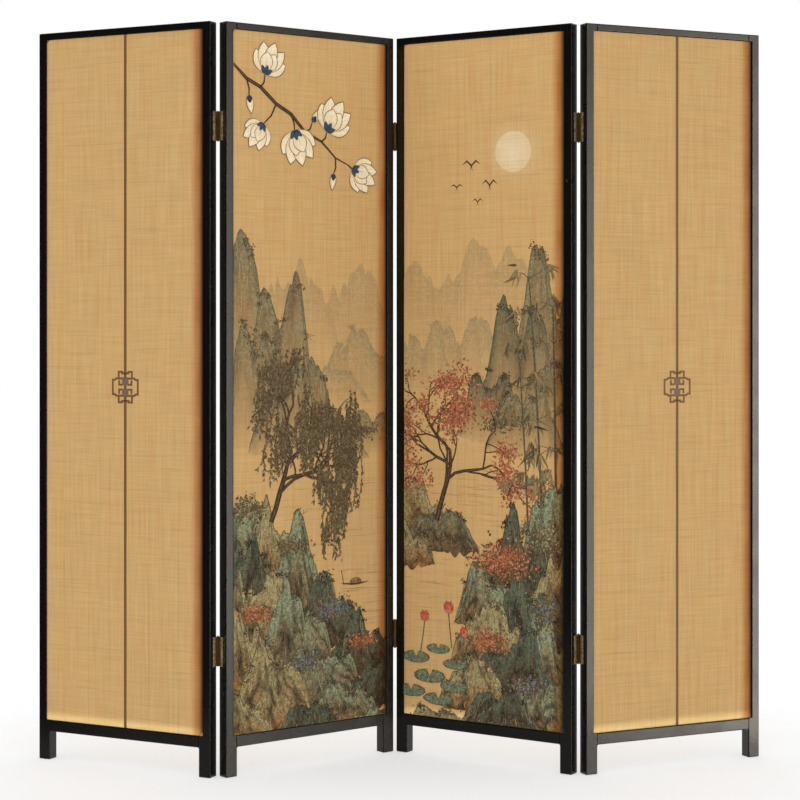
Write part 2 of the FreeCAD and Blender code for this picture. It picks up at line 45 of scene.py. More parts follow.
MM = 0.001
PANELS = (1, 2, 3, 4)
LACQUER_BLACK = "#0c0b09"
LACQUER_BROWN = "#17120d"
BARE_WOOD = "#5b3d22"
GRAIN_LENGTH = 240 * MM
GRAIN_WIDTH = 2.4 * MM
GRAIN_DEPTH = 0.12 * MM
BRUSH_MARK = 70 * MM
CHIP_SPACING = 38 * MM
# The levels of the noise at which grain and chips begin to show and show in full, and the
# roughness of the sheen
GRAIN_SHOWS = {"From Min": 0.45, "From Max": 0.75}
CHIPPED = {"From Min": 0.75, "From Max": 0.78}
SATIN = {"To Min": 0.2, "To Max": 0.34}


def linear(colour):
    """A colour written as sRGB hex, as the linear red, green, blue and alpha of a shader."""
    channels = [int(colour[start:start + 2], 16) / 255 for start in (1, 3, 5)]
    straight = [c / 12.92 if c <= 0.04045 else ((c + 0.055) / 1.055) ** 2.4 for c in channels]
    return straight + [1.0]


def output(source):
    """The output socket meant by a node, or by a node and the name of one of its outputs."""
    node, name = source if isinstance(source, tuple) else (source, None)
    return next(s for s in node.outputs if s.enabled and name in (None, s.name))


def add(tree, kind, inputs=(), **settings):
    """Adds a node. Its inputs are given by name, or as a tuple in their order.

    Each is a value or what it is linked to: a node, or a node and the name of its output.
    """
    node = tree.nodes.new("ShaderNode" + kind)
    for name, value in settings.items():
        setattr(node, name, value)
    sockets = [s for s in node.inputs if s.enabled]
    if isinstance(inputs, dict):
        named = {s.name: s for s in sockets}
        pairs = [(named[name], value) for name, value in inputs.items()]
    else:
        pairs = zip(sockets, inputs)
    for socket, value in pairs:
        giver = value[0] if isinstance(value, tuple) else value
        if isinstance(giver, bpy.types.Node):
            tree.links.new(output(value), socket)
        else:
            socket.default_value = value
    return node


def new_finish(name, **values):
    """A material, with the values that are the same all over it.

    Returns it, its nodes, its shader and the source of each point's place in the object's frame.
    """
    material = bpy.data.materials.new(name)
    material.use_nodes = True
    tree = material.node_tree
    shader = tree.nodes["Principled BSDF"]
    for socket, value in values.items():
        shader.inputs[socket.replace("_", " ")].default_value = value
    return material, tree, shader, (add(tree, "TexCoord"), "Object")


def feed(tree, shader, **sources):
    for socket, source in sources.items():
        tree.links.new(output(source), shader.inputs[socket.replace("_", " ")])


def lacquered_wood(name, turn):
    """Black lacquer on wood whose grain lies along x once the piece is turned by turn.

    The lacquer gives a deep black with a broad satin sheen; grain and brush marks ripple it.
    """
    material, tree, shader, where = new_finish(name, Specular_IOR_Level=0.36)
    turned = add(tree, "Mapping", {"Vector": where, "Rotation": turn})
    stretch = (1 / GRAIN_LENGTH, 1 / GRAIN_WIDTH, 1 / GRAIN_WIDTH)
    drawn = add(tree, "Mapping", {"Vector": turned, "Scale": stretch})
    grain = add(tree, "TexNoise", {"Vector": drawn, "Scale": 1.0, "Detail": 3.0})
    marks = add(tree, "TexNoise", {"Vector": turned, "Scale": 1 / BRUSH_MARK, "Detail": 4.0})
    chips = add(tree, "TexNoise", {"Vector": turned, "Scale": 1 / CHIP_SPACING, "Detail": 6.0})
    shows = add(tree, "MapRange", {"Value": grain, **GRAIN_SHOWS})
    black, brown = linear(LACQUER_BLACK), linear(LACQUER_BROWN)
    grained = add(tree, "Mix", (shows, black, brown), data_type="RGBA")
    chipped = add(tree, "MapRange", {"Value": chips, **CHIPPED})
    colour = add(tree, "Mix", (chipped, grained, linear(BARE_WOOD)), data_type="RGBA")
    gloss = add(tree, "MapRange", {"Value": marks, **SATIN})
    relief = add(tree, "Bump", {"Height": grain, "Strength": 0.25, "Distance": GRAIN_DEPTH})
    feed(tree, shader, Base_Color=colour, Roughness=gloss, Normal=relief)
    return material


def along(cloth):
    """The direction of a panel, left to right from the front, and its middle, from a cloth."""
    corners = sorted((v.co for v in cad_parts[cloth].data.vertices), key=lambda c: c.x)
    half = len(corners) // 2
    left = sum(corners[:half], Vector()) / half
    right = sum(corners[half:], Vector()) / half
    return (right - left).normalized(), (left + right) / 2


def give(node, material):
    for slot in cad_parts[node].material_slots:
        slot.material = material


post_lacquer = lacquered_wood("black_lacquer_posts", (0, math.pi / 2, 0))
for number in PANELS:
    direction, _ = along(f"panel_{number}_front_cloth")
    heading = math.atan2(direction.y, direction.x)
    rail_lacquer = lacquered_wood(f"black_lacquer_rails_{number}", (0, 0, -heading))
    for side in ("left", "right"):
        give(f"panel_{number}_{side}_post", post_lacquer)
    for rail in ("top", "bottom"):
        give(f"panel_{number}_{rail}_rail", rail_lacquer)


# Core lattices and backing boards
# Inside each panel is a light lattice of planed softwood laths with a thin board glued on each
# side. Both are closed in by the cloths and the frame, and stay bare.

PLANED_PALE = "#d8b98a"
PLANED_DARK = "#b98f5c"
RING_WIDTH = 3 * MM
RING_DEPTH = 0.2 * MM


def planed_softwood(name):
    """Bare planed softwood: pale, dull, with close dark rings drawn out along the piece."""
    material, tree, shader, where = new_finish(name, Roughness=0.75)
    stretch = (1 / RING_WIDTH, 1 / RING_WIDTH, 1 / GRAIN_LENGTH)
    drawn = add(tree, "Mapping", {"Vector": where, "Scale": stretch})
    rings = add(tree, "TexNoise", {"Vector": drawn, "Scale": 1.0, "Detail": 2.0})
    colour = add(tree, "Mix", (rings, linear(PLANED_PALE), linear(PLANED_DARK)), data_type="RGBA")
    relief = add(tree, "Bump", {"Height": rings, "Strength": 0.4, "Distance": RING_DEPTH})
    feed(tree, shader, Base_Color=colour, Normal=relief)
    return material


softwood = planed_softwood("planed_softwood")
for number in PANELS:
    for piece in ("core_lattice", "front_backing", "back_backing"):
        give(f"panel_{number}_{piece}", softwood)


# Hinges
# Two brass butt hinges to a joint, 70 mm high, let the panels fold. Their leaves are screwed to the
# sides of the posts with slotted countersunk screws, and the brass has aged to a brown patina.

HINGE_JOINTS = (1, 2, 3)
BRASS_WORN = "#efdcae"
BRASS_AGED = "#93764a"
# Red-brown near the pin: tarnish and painted shade
BRASS_TARNISH_AND_SHADE = "#775733"
SCREW_WORN = "#dfcd9c"
PATINA_PATCH = 7 * MM
# The levels of the noise between which patina shows, how it dulls the brass and veils the metal
PATINA_SHOWS = {"From Min": 0.42, "From Max": 0.58}
PATINA_DULLS = {"To Min": 0.35, "To Max": 0.65}
PATINA_VEILS = {"To Min": 0.8, "To Max": 0.4}
PIT_DEPTH = 0.1 * MM
# The tarnish and painted shade beside the pin end between these two distances from it, less about
# half of the drift, by which the patches make its edge ragged
PIN_SHADE_NEAR = 14 * MM
PIN_SHADE_FAR = 22 * MM
PATINA_DRIFT = 14 * MM
SMOOTH = {"interpolation_type": "SMOOTHSTEP"}


def aged_brass(name, worn, pin=None):
    """Cast and rolled brass, worn bright on its outer edges and red-brown along the pin, where tarnish
    and painted shade darken it.
    """
    material, tree, shader, where = new_finish(name)
    spread = {"Vector": where, "Scale": 1 / PATINA_PATCH, "Detail": 5.0, "Roughness": 0.65}
    patches = add(tree, "TexNoise", spread)
    patina = add(tree, "MapRange", {"Value": patches, **PATINA_SHOWS})
    colour = add(tree, "Mix", (patina, linear(worn), linear(BRASS_AGED)), data_type="RGBA")
    # Darker towards the pin: tarnish and painted shade at the barrel
    if pin:
        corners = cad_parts[pin].data.vertices
        axis = sum((corner.co for corner in corners), Vector()) / len(corners)
        beside = {"Vector": where, "Location": (-axis.x, -axis.y, 0), "Scale": (1, 1, 0)}
        away = add(tree, "VectorMath", (add(tree, "Mapping", beside),), operation="LENGTH")
        ragged = (patches, PATINA_DRIFT, (away, "Value"))
        edge = add(tree, "Math", ragged, operation="MULTIPLY_ADD")
        reach = {"Value": edge, "From Min": PIN_SHADE_NEAR, "From Max": PIN_SHADE_FAR}
        clear_of_pin_shade = add(tree, "MapRange", reach, **SMOOTH)
        colour = add(tree, "Mix", (clear_of_pin_shade, linear(BRASS_TARNISH_AND_SHADE), colour), data_type="RGBA")
    dull = add(tree, "MapRange", {"Value": patina, **PATINA_DULLS})
    bare = add(tree, "MapRange", {"Value": patina, **PATINA_VEILS})
    pits = add(tree, "Bump", {"Height": patches, "Strength": 0.3, "Distance": PIT_DEPTH})
    feed(tree, shader, Base_Color=colour, Metallic=bare, Roughness=dull, Normal=pits)
    return material


screw_brass = aged_brass("aged_brass_screws", SCREW_WORN)
for joint in HINGE_JOINTS:
    hinge_brass = aged_brass(f"aged_brass_{joint}", BRASS_WORN, f"hinge_{joint}_upper_pin")
    for hinge in ("upper", "lower"):
        for piece in ("left_leaf", "right_leaf", "pin"):
            give(f"hinge_{joint}_{hinge}_{piece}", hinge_brass)
for number in PANELS:
    give(f"panel_{number}_hinge_screws", screw_brass)


# Cloths
# Each board is covered, front and back, with a coarse linen woven from slubbed undyed yarn, pasted
# flat and cut to the rabbet. A painted brown shade darkens it along its right edge and deepens to a
# painted dark shade at the rim. Painted light makes it pale along its foot.

LINEN_STRAW = "#cbaa72"
LINEN_OCHRE = "#ca9c63"
# The painted brown shade along the right edge, the painted dark shade at its rim and the painted light
# along its foot
LINEN_BROWN_SHADE = "#d0a06a"
LINEN_SHADE = "#1d150e"
LINEN_FOOT_LIGHT = "#f3cf8b"
# The front linen of the two inner panels is painted lighter, against the shade that they cast on one
# another
SHADE_OFFSET_LIGHTNESS = {2: 1.06, 3: 1.07}
# Streaks are given as streaks() takes them: warp, weft, thick weft, bands, dark warp, dark weft
# and clouds, which make the tone, and then the streaks of hue and the patches of the painted brown
# shade along the right edge
WEAVE = (
    (2.6, 110, 0.95, 1.05),
    (90, 3, 0.943, 1.057),
    (260, 11, 0.98, 1.02),
    (10, 900, 0.985, 1.015),
    (4.2, 2500, 1.0, 0.9, 0.62, 0.7),
    (230, 4.6, 1.0, 0.925, 0.585, 0.68),
    (70, 90, 0.985, 1.015),
)
HUES = (7, 170, 0.12, 0.88)
BROWN_SHADE_PATCHES = (40, 90, 0.75, 1.0)
YARN_RELIEF = 0.6 * MM
BOLT_STEP = (0.7, 0, 1)
# Where each begins and is in full: the painted light, upwards from the foot, and the painted
# brown shade and the painted dark shade of the rim, to the right from the right edge
FOOT_LIGHT = (26 * MM, 4 * MM)
BROWN_SHADE = (-40 * MM, -10.4 * MM)
BROWN_SHADE_CURVE = 1.4
SHADE = (-13 * MM, 3 * MM)
CLOTH_COLUMNS = 64
CLOTH_ROWS = 190
CLOTH_RIPPLE = 0.12 * MM
RIPPLE_LENGTH = 45 * MM


def stand(name, data):
    """Puts a mesh or a camera into the scene as an object."""
    thing = bpy.data.objects.new(name, data)
    bpy.context.scene.collection.objects.link(thing)
    return thing


def quads(rows, stride):
    """The corners of each face in a grid whose points are counted row by row."""
    for row in range(rows):
        for corner in range(row * stride, (row + 1) * stride - 1):
            yield corner, corner + 1, corner + stride + 1, corner + stride


class Cloth:
    """Where one covering lies: its own frame has x across it, y into the panel and z up.

    y = 0 is the cloth's outer face, z = 0 is the floor and x = 0 the middle of the panel.
    """

    def __init__(self, number, side):
        self.number = number
        self.panel = f"panel_{number}"
        self.node = f"{self.panel}_{side}_cloth"
        # Inner front cloths are painted lighter against the shade that their neighbours cast
        self.tone = SHADE_OFFSET_LIGHTNESS.get(number, 1.0) if side == "front" else 1.0
        direction, middle = along(self.node)
        if side == "back":
            direction = -direction
        inward = Vector((-direction.y, direction.x, 0))
        corners = [v.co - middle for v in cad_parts[self.node].data.vertices]
        self.half_width = max(corner.dot(direction) for corner in corners)
        self.thickness = 2 * max(corner.dot(inward) for corner in corners)
        self.low = middle.z + min(corner.z for corner in corners)
        self.high = middle.z + max(corner.z for corner in corners)
        outer = middle - inward * self.thickness / 2
        self.place = Matrix.Identity(4)
        self.place.col[0] = (*direction, 0)
        self.place.col[1] = (*inward, 0)
        self.place.col[3] = (outer.x, outer.y, 0, 1)

    def hang(self, name, points, faces, material):
        """Makes a mesh from points in the cloth's frame and lets it move with the panel."""
        mesh = bpy.data.meshes.new(name)
        mesh.from_pydata(points, [], faces)
        mesh.materials.append(material)
        piece = stand(name, mesh)
        piece.matrix_world = self.place
        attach(piece, self.panel)
        return piece


def streaks(tree, where, across, up, low, high, least=0.3, most=0.7):
    """Streaks, across wide and up long in mm, whose tone runs from low to high.

    They are drawn from a noise: it is low up to the level least, and high from the level most.
    """
    stretch = (1 / (across * MM), 0, 1 / (up * MM))
    drawn = add(tree, "Mapping", {"Vector": where, "Scale": stretch})
    yarn = add(tree, "TexNoise", {"Vector": drawn, "Scale": 1.0, "Detail": 1.5})
    levels = {"Value": yarn, "From Min": least, "From Max": most, "To Min": low, "To Max": high}
    return add(tree, "MapRange", levels)


def woven_linen(name, cloth, dye=None):
    """Undyed slubbed linen: dull and warm, with streaks of thicker and darker yarn both ways.

    Yarns are drawn about three times as thick as they are, or they would not show. Each panel's
    linen is cut from another place on the bolt. dye lays the print of a printed cloth on the
    yarn, below the painted brown shade along the right edge.
    """
    material, tree, shader, place = new_finish(name, Roughness=0.9, Specular_IOR_Level=0.25)
    cut = [cloth.number * shift for shift in BOLT_STEP]
    where = add(tree, "Mapping", {"Vector": place, "Location": cut})
    tone = cloth.tone
    for yarns in WEAVE:
        tone = add(tree, "Math", (tone, streaks(tree, where, *yarns)), operation="MULTIPLY")
    hue = streaks(tree, where, *HUES)
    yarn = add(tree, "Mix", (hue, linear(LINEN_STRAW), linear(LINEN_OCHRE)), data_type="RGBA")
    split = add(tree, "SeparateXYZ", {"Vector": place})
    right, foot = cloth.half_width, cloth.low
    near = []
    for axis, edge, (starts, full) in (("Z", foot, FOOT_LIGHT), ("X", right, BROWN_SHADE), ("X", right, SHADE)):
        reach = {"Value": (split, axis), "From Min": edge + starts, "From Max": edge + full}
        near.append(add(tree, "MapRange", reach, **SMOOTH))
    at_foot, at_edge, at_rim = near
    # Painted light: the cloth is paler towards its foot
    foot_lit = add(tree, "Mix", (at_foot, yarn, linear(LINEN_FOOT_LIGHT)), data_type="RGBA")
    dyed = dye(tree, place, foot_lit) if dye else foot_lit
    # Painted shade: the cloth browns towards its right edge, in uneven patches
    brown_shade_deepened = add(tree, "Math", (at_edge, BROWN_SHADE_CURVE), operation="POWER")
    brown_shade_amount = add(tree, "Math", (brown_shade_deepened, streaks(tree, where, *BROWN_SHADE_PATCHES)), operation="MULTIPLY")
    brown_shade_mix = (brown_shade_amount, dyed, linear(LINEN_BROWN_SHADE))
    brown_shaded = add(tree, "Mix", brown_shade_mix, data_type="RGBA", blend_type="MULTIPLY")
    # Painted dark shade at the rim, where the cloth meets the right post
    edged = add(tree, "Mix", (at_rim, brown_shaded, linear(LINEN_SHADE)), data_type="RGBA")
    colour = add(tree, "VectorMath", (edged, tone), operation="SCALE")
    relief = add(tree, "Bump", {"Height": tone, "Strength": 0.5, "Distance": YARN_RELIEF})
    feed(tree, shader, Base_Color=colour, Normal=relief)
    return material


def stretch_cloth(cloth, material):
    """The pasted cloth: a sheet with the faint ripple of its yarns, turned down at its edges."""
    width = 2 * cloth.half_width
    height = cloth.high - cloth.low
    points = []
    for row in range(CLOTH_ROWS + 1):
        z = cloth.low + height * row / CLOTH_ROWS
        for column in range(CLOTH_COLUMNS + 1):
            x = width * (column / CLOTH_COLUMNS - 0.5)
            inside = 0 < row < CLOTH_ROWS and 0 < column < CLOTH_COLUMNS
            swell = noise.noise(Vector((x / RIPPLE_LENGTH, 0, z / RIPPLE_LENGTH)))
            lift = CLOTH_RIPPLE * (1 + swell) if inside else cloth.thickness
            points.append((x, lift, z))
    faces = list(quads(CLOTH_ROWS, CLOTH_COLUMNS + 1))
    piece = cloth.hang(cloth.node + "_linen", points, faces, material)
    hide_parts(cloth.node)


cloths = {}
for number in PANELS:
    for side in ("front", "back"):
        cloth = Cloth(number, side)
        cloths[number, side] = cloth
        stretch_cloth(cloth, woven_linen(f"woven_linen_{number}_{side}", cloth))


# Braid and fret ornaments
# The outer panels have a flat brown braid down the middle of the cloth and, at hand height, a
# symmetrical fret worked from the same silk. Both are pasted on.

# Sizes in mm. A braid's place is counted from the middle of its cloth. The fret's bars, of which
# the right halves are given, and its hearts are counted from the middle of the fret
BRAID_BROWN = "#775122"
BRAID_LIGHT = "#79604a"
BRAID_PLACES = {1: 6.5, 4: 9.0}
BRAID_WIDTH = 7.1
BRAID_THICKNESS = 0.35
FRET_HEIGHT = 926.0
FRET_BAR = 4.8
FRET_BARS = (
    ((0, 33.5), (9, 33.5), (9, 37), (19.2, 37), (19.2, 23)),
    ((0, 21), (26, 21), (30.5, 17.5), (36.3, 17.5), (36.3, -17.5), (30.5, -17.5), (26, -21), (0, -21)),
    ((0, -33.5), (9, -33.5), (9, -37), (19.2, -37), (19.2, -23)),
    ((8.5, 6), (18, 6), (18, 16.5)),
    ((8.5, -6), (18, -6), (18, -16.5)),
)
FRET_HEARTS = (((-9, 4.3), (9, 22)), ((-9, -22), (9, -4.3)))
HEART_THICKNESS = 1.5 * BRAID_THICKNESS
MITRE_LIMIT = 0.4
SILK_RIB = 6 * MM
SILK_RIB_DEPTH = 0.2 * MM
SILK_SHADES = {"To Min": 0.85, "To Max": 1.1}


def silk_braid(name, colour):
    """Twisted silk cord pressed flat: a soft sheen across fine slanting ribs."""
    material, tree, shader, where = new_finish(name, Roughness=0.6, Sheen_Weight=0.1)
    slant = add(tree, "Mapping", {"Vector": where, "Rotation": (0, math.pi / 4, 0)})
    wave = add(tree, "TexWave", {"Vector": slant, "Scale": 1 / SILK_RIB, "Distortion": 1.0})
    ribs = (wave, "Fac")
    shade = add(tree, "MapRange", {"Value": ribs, **SILK_SHADES})
    tinted = add(tree, "VectorMath", (linear(colour)[:3], shade), operation="SCALE")
    relief = add(tree, "Bump", {"Height": ribs, "Strength": 0.5, "Distance": SILK_RIB_DEPTH})
    feed(tree, shader, Base_Color=tinted, Normal=relief)
    return material


def ribbon(points, widths):
    """The two edges of a flat band along a line of points, mitred at its corners."""
    left, right = [], []
    for index, (x, z) in enumerate(points):
        before = points[max(index - 1, 0)]
        after = points[min(index + 1, len(points) - 1)]
        arriving = Vector((x - before[0], z - before[1]))
        leaving = Vector((after[0] - x, after[1] - z))
        arriving = arriving.normalized() if arriving.length else leaving.normalized()
        leaving = leaving.normalized() if leaving.length else arriving
        middle = (arriving + leaving).normalized()
        square = Vector((-middle.y, middle.x))
        reach = widths[index] / 2 / max(middle.dot(arriving), MITRE_LIMIT)
        left.append((x + square.x * reach, z + square.y * reach))
        right.append((x - square.x * reach, z - square.y * reach))
    return left, right


def raised_band(solid, left, right, thickness):
    """Adds a closed flat bar between two edges to the points and faces in solid."""
    points, faces = solid
    first = len(points)
    for ends in zip(left, right):
        for depth in (-thickness, 0):
            points.extend((x * MM, depth * MM, z * MM) for x, z in ends)
    last = len(points) - 4
    for near in range(first, last, 4):
        for one, two in ((0, 1), (1, 3), (3, 2), (2, 0)):
            faces.append((near + one, near + 4 + one, near + 4 + two, near + two))
    for end in (first, last):
        faces.append((end, end + 1, end + 3, end + 2))


def paste_ornament(number):
    cloth = cloths[number, "front"]
    centre = BRAID_PLACES[number]
    braid, hearts = ([], []), ([], [])
    ends = ((centre, cloth.low / MM), (centre, cloth.high / MM))
    raised_band(braid, *ribbon(ends, (BRAID_WIDTH, BRAID_WIDTH)), BRAID_THICKNESS)
    for bar in FRET_BARS:
        for flip in (1, -1):
            line = [(centre + flip * x, FRET_HEIGHT + z) for x, z in bar]
            raised_band(braid, *ribbon(line, [FRET_BAR] * len(line)), BRAID_THICKNESS)
    for (x0, z0), (x1, z1) in FRET_HEARTS:
        edges = [[(centre + x, FRET_HEIGHT + z) for z in (z0, z1)] for x in (x0, x1)]
        raised_band(hearts, *edges, HEART_THICKNESS)
    cloth.hang(f"panel_{number}_braid", *braid, silk_braid(f"silk_braid_{number}", BRAID_BROWN))
    silk = silk_braid(f"silk_hearts_{number}", BRAID_LIGHT)
    cloth.hang(f"panel_{number}_fret_hearts", *hearts, silk)


for number in BRAID_PLACES:
    paste_ornament(number)


# Printed landscape
# The cloths of the two inner panels are printed, before they are pasted down, with one landscape
# in ink and mineral colours: a lake between crags, with willow, maple, bamboo and lotus on its
# shores and a bough of magnolia above.

INK = linear("#29231b")
DEEP_INK = linear("#1f1b16")
UMBER = linear("#5a4230")
OCHRE = linear("#a07a4c")
MALACHITE = linear("#8b9372")
DEEP_MALACHITE = linear("#55624f")
AZURITE = linear("#426a80")
INDIGO = linear("#263a58")
MIST = linear("#a3875f")
RUST = linear("#a04c2b")
VERMILION = linear("#b5412f")
BLUSH = linear("#c9745a")
SHELL_WHITE = linear("#f4e7c8")
CREAM = linear("#dcc08c")
# The unevenness of the darker pigments and of the yarns that take them up, as streaks() takes it
MOTTLE = (8, 11.2, 0.62, 1.15, 0.36, 0.6)
STIPPLE = (3, 4.5, 0.5, 1.2, 0.34, 0.6)
SOAKED_YARNS = (2.4, 7, 0.9, 1.0, 0.3, 0.6)
FLAT_TONES = {"From Min": 0.27, "From Max": 0.5}
# Heights in mm: each shape lies a step above the last, and loose touches lie within one depth
SCREEN_STEP = 0.003
LOOSE_DEPTH = 0.012
DAB_SIDES = 5


def step(x, z, angle, distance):
    """The place that lies at a distance from x, z, at an angle."""
    return x + distance * math.cos(angle), z + distance * math.sin(angle)


def tint(first, second, share):
    """The linear colour that lies share of the way from one to another."""
    share = min(max(share, 0.0), 1.0)
    return [a + (b - a) * share for a, b in zip(first, second)]


def printed_ink(tree, where, yarn):
    """Ink and mineral colour soaked into the linen, whose yarns show through.

    The darker pigments lie mottled and stippled, the pale ones flat. The stipple is drawn about
    twice as coarse as it is, or it would not show.
    """
    painted = add(tree, "VertexColor", layer_name="pigment")
    pigment = (painted, "Color")
    mottle = streaks(tree, where, *MOTTLE)
    stipple = streaks(tree, where, *STIPPLE)
    uneven = add(tree, "Math", (mottle, stipple), operation="MULTIPLY")
    light = add(tree, "RGBToBW", {"Color": pigment})
    flat = add(tree, "MapRange", {"Value": light, **FLAT_TONES})
    lie = add(tree, "Mix", (flat, uneven, 1.0), data_type="FLOAT")
    ink = add(tree, "VectorMath", (pigment, lie), operation="SCALE")
    taken = streaks(tree, where, *SOAKED_YARNS)
    share = add(tree, "Math", ((painted, "Alpha"), taken), operation="MULTIPLY")
    return add(tree, "Mix", (share, yarn, ink), data_type="RGBA")


class Print:
    """What is printed on one cloth, in millimetres: x from the cloth's middle, z from the floor.

    Each shape is laid a hair above the ones before it, as one screen of ink goes on another.
    """

    def __init__(self, cloth, seed):
        self.cloth = cloth
        self.reach = cloth.half_width / MM
        self.foot = cloth.low / MM
        self.head = cloth.high / MM
        self.luck = random.Random(seed)
        self.points, self.faces, self.pigments = [], [], []
        self.lift = 0.0

    def put(self, x, z, lift, pigment, share):
        """Adds a point, kept on the cloth, and says whether it was on it."""
        inside = abs(x) <= self.reach and self.foot <= z <= self.head
        x = min(max(x, -self.reach), self.reach)
        z = min(max(z, self.foot), self.head)
        self.points.append((x * MM, -lift * MM, z * MM))
        self.pigments.extend((*pigment[:3], share))
        return inside

    def height(self, loose):
        """How far in front of the cloth the next shape lies."""
        if loose:
            return self.lift + self.luck.uniform(0, LOOSE_DEPTH)
        self.lift += SCREEN_STEP
        return self.lift

    def settle(self):
        """Ends a group of loose shapes: what follows lies over them."""
        self.lift += LOOSE_DEPTH

    def lay(self, rows, loose=False):
        """Adds a grid of points, row by row, each an x, a z, a pigment and its share."""
        lift = self.height(loose)
        first, stride = len(self.points), len(rows[0])
        inside = [
            self.put(x, z, lift, pigment, share) for row in rows for x, z, pigment, share in row
        ]
        for around in quads(len(rows) - 1, stride):
            if any(inside[index] for index in around):
                self.faces.append(tuple(first + index for index in around))

    def grid(self, rows, columns, point, loose=False):
        """Lays a grid of what point gives for s, from 0 to 1 by rows, and t, from -1 to 1 across."""
        across = [2 * column / columns - 1 for column in range(columns + 1)]
        self.lay([[point(row / rows, t) for t in across] for row in range(rows + 1)], loose)

    def dab(self, x, z, radius, pigment, share=1.0):
        """A loose touch of the brush's tip."""
        lift = self.height(loose=True)
        first = len(self.points)
        turn = self.luck.uniform(0, math.tau)
        inside = []
        for side in range(DAB_SIDES):
            angle = turn + math.tau * side / DAB_SIDES
            size = radius * self.luck.uniform(0.6, 1.2)
            inside.append(self.put(*step(x, z, angle, size), lift, pigment, share))
        if all(inside):
            self.faces.append(tuple(range(first, first + DAB_SIDES)))

    def scatter(self, x, z, spread, count, radii, pigments, shares):
        """Dabs strewn about a place; spread is how far they stray across and up."""
        for _ in range(count):
            place = (self.luck.gauss(x, spread[0]), self.luck.gauss(z, spread[1]))
            pigment, share = self.luck.choice(pigments), self.luck.uniform(*shares)
            self.dab(*place, self.luck.uniform(*radii), pigment, share)

    def brush(self, line, width, pigment, share=1.0, start=1.0, end=0.1, loose=False):
        """A stroke along a line; start and end are the shares of its width at its two ends.

        It widens over the first third of its points and narrows over the last half.
        """
        widths = []
        for index in range(len(line)):
            s = index / (len(line) - 1)
            opening = start + (1 - start) * s * 3
            closing = end + (1 - end) * (1 - s) * 2
            widths.append(width * min(1, opening, closing))
        left, right = ribbon(line, widths)
        rows = [[(*a, pigment, share), (*b, pigment, share)] for a, b in zip(left, right)]
        self.lay(rows, loose)

    def petal(self, x, z, angle, length, width, paint, loose=False, columns=4, rows=6, belly=0.8):
        """A leaf or petal from its base, along angle; paint gives its pigment and share.

        The greater its belly, the nearer its widest place is to its tip.
        """
        ahead, aside = (math.cos(angle), math.sin(angle)), (-math.sin(angle), math.cos(angle))

        def point(s, t):
            far, off = length * s, width / 2 * math.sin(math.pi * s ** belly) ** 0.8 * t
            return (
                x + far * ahead[0] + off * aside[0], z + far * ahead[1] + off * aside[1], *paint(s, t)
            )

        self.grid(rows, columns, point, loose)

    def disc(self, x, z, wide, high, paint, rings=5, sides=28, ragged=0.0, gap=0.0):
        """A round or oval shape; paint gives its pigment and share at a radius and an angle.

        Its rim may be ragged, and it may be open for a gap on each side of its top.
        """
        rim = [1 + self.luck.uniform(-ragged, ragged) for _ in range(sides)]
        rim.append(rim[0])

        def point(r, t):
            side = (t + 1) / 2 * sides
            angle = math.pi / 2 + gap + (math.tau - 2 * gap) * side / sides
            size = r * rim[round(side)]
            across, up = size * wide * math.cos(angle), size * high * math.sin(angle)
            return (x + across, z + up, *paint(r, angle))

        self.grid(rings, sides, point)

    def finish(self):
        """Hangs the print on its cloth, dyed with the pigments that its points were given."""
        number = self.cloth.number
        material = woven_linen(f"printed_ink_{number}", self.cloth, printed_ink)
        piece = self.cloth.hang(f"panel_{number}_print", self.points, self.faces, material)
        attribute = piece.data.attributes.new("pigment", "FLOAT_COLOR", "POINT")
        attribute.data.foreach_set("color", self.pigments)


def even(pigment, share=1.0):
    """The paint of a shape that has one pigment all over."""
    return lambda s, t: (pigment, share)


def ripple(x, y, seed):
    """A smooth random height at x, y; each seed gives another one."""
    return noise.noise(Vector((x, y, seed)))


# Crags and shore rocks: clefts, body and crest of each kind. How much of the cloth a kind hides
# at its crest and at its foot leaves room for mist.

NEAR_ROCK = (INK, linear("#80603f"), MALACHITE)
WARM_ROCK = (INK, linear("#93683d"), linear("#a3966a"))
DEEP_ROCK = (DEEP_INK, linear("#4f3d2a"), DEEP_MALACHITE)
MIDDLE_ROCK = (linear("#3a3025"), linear("#6f583b"), linear("#7c785b"))
FAR_ROCK = (linear("#6f6653"), MIST, linear("#8f8465"))
SOLID_ROCK = (1.0, 1.0)
ROCK_COLUMN = 4.5
ROCK_ROW = 6.0
CREST_LINE = 2.0
TUFT_DABS = 22


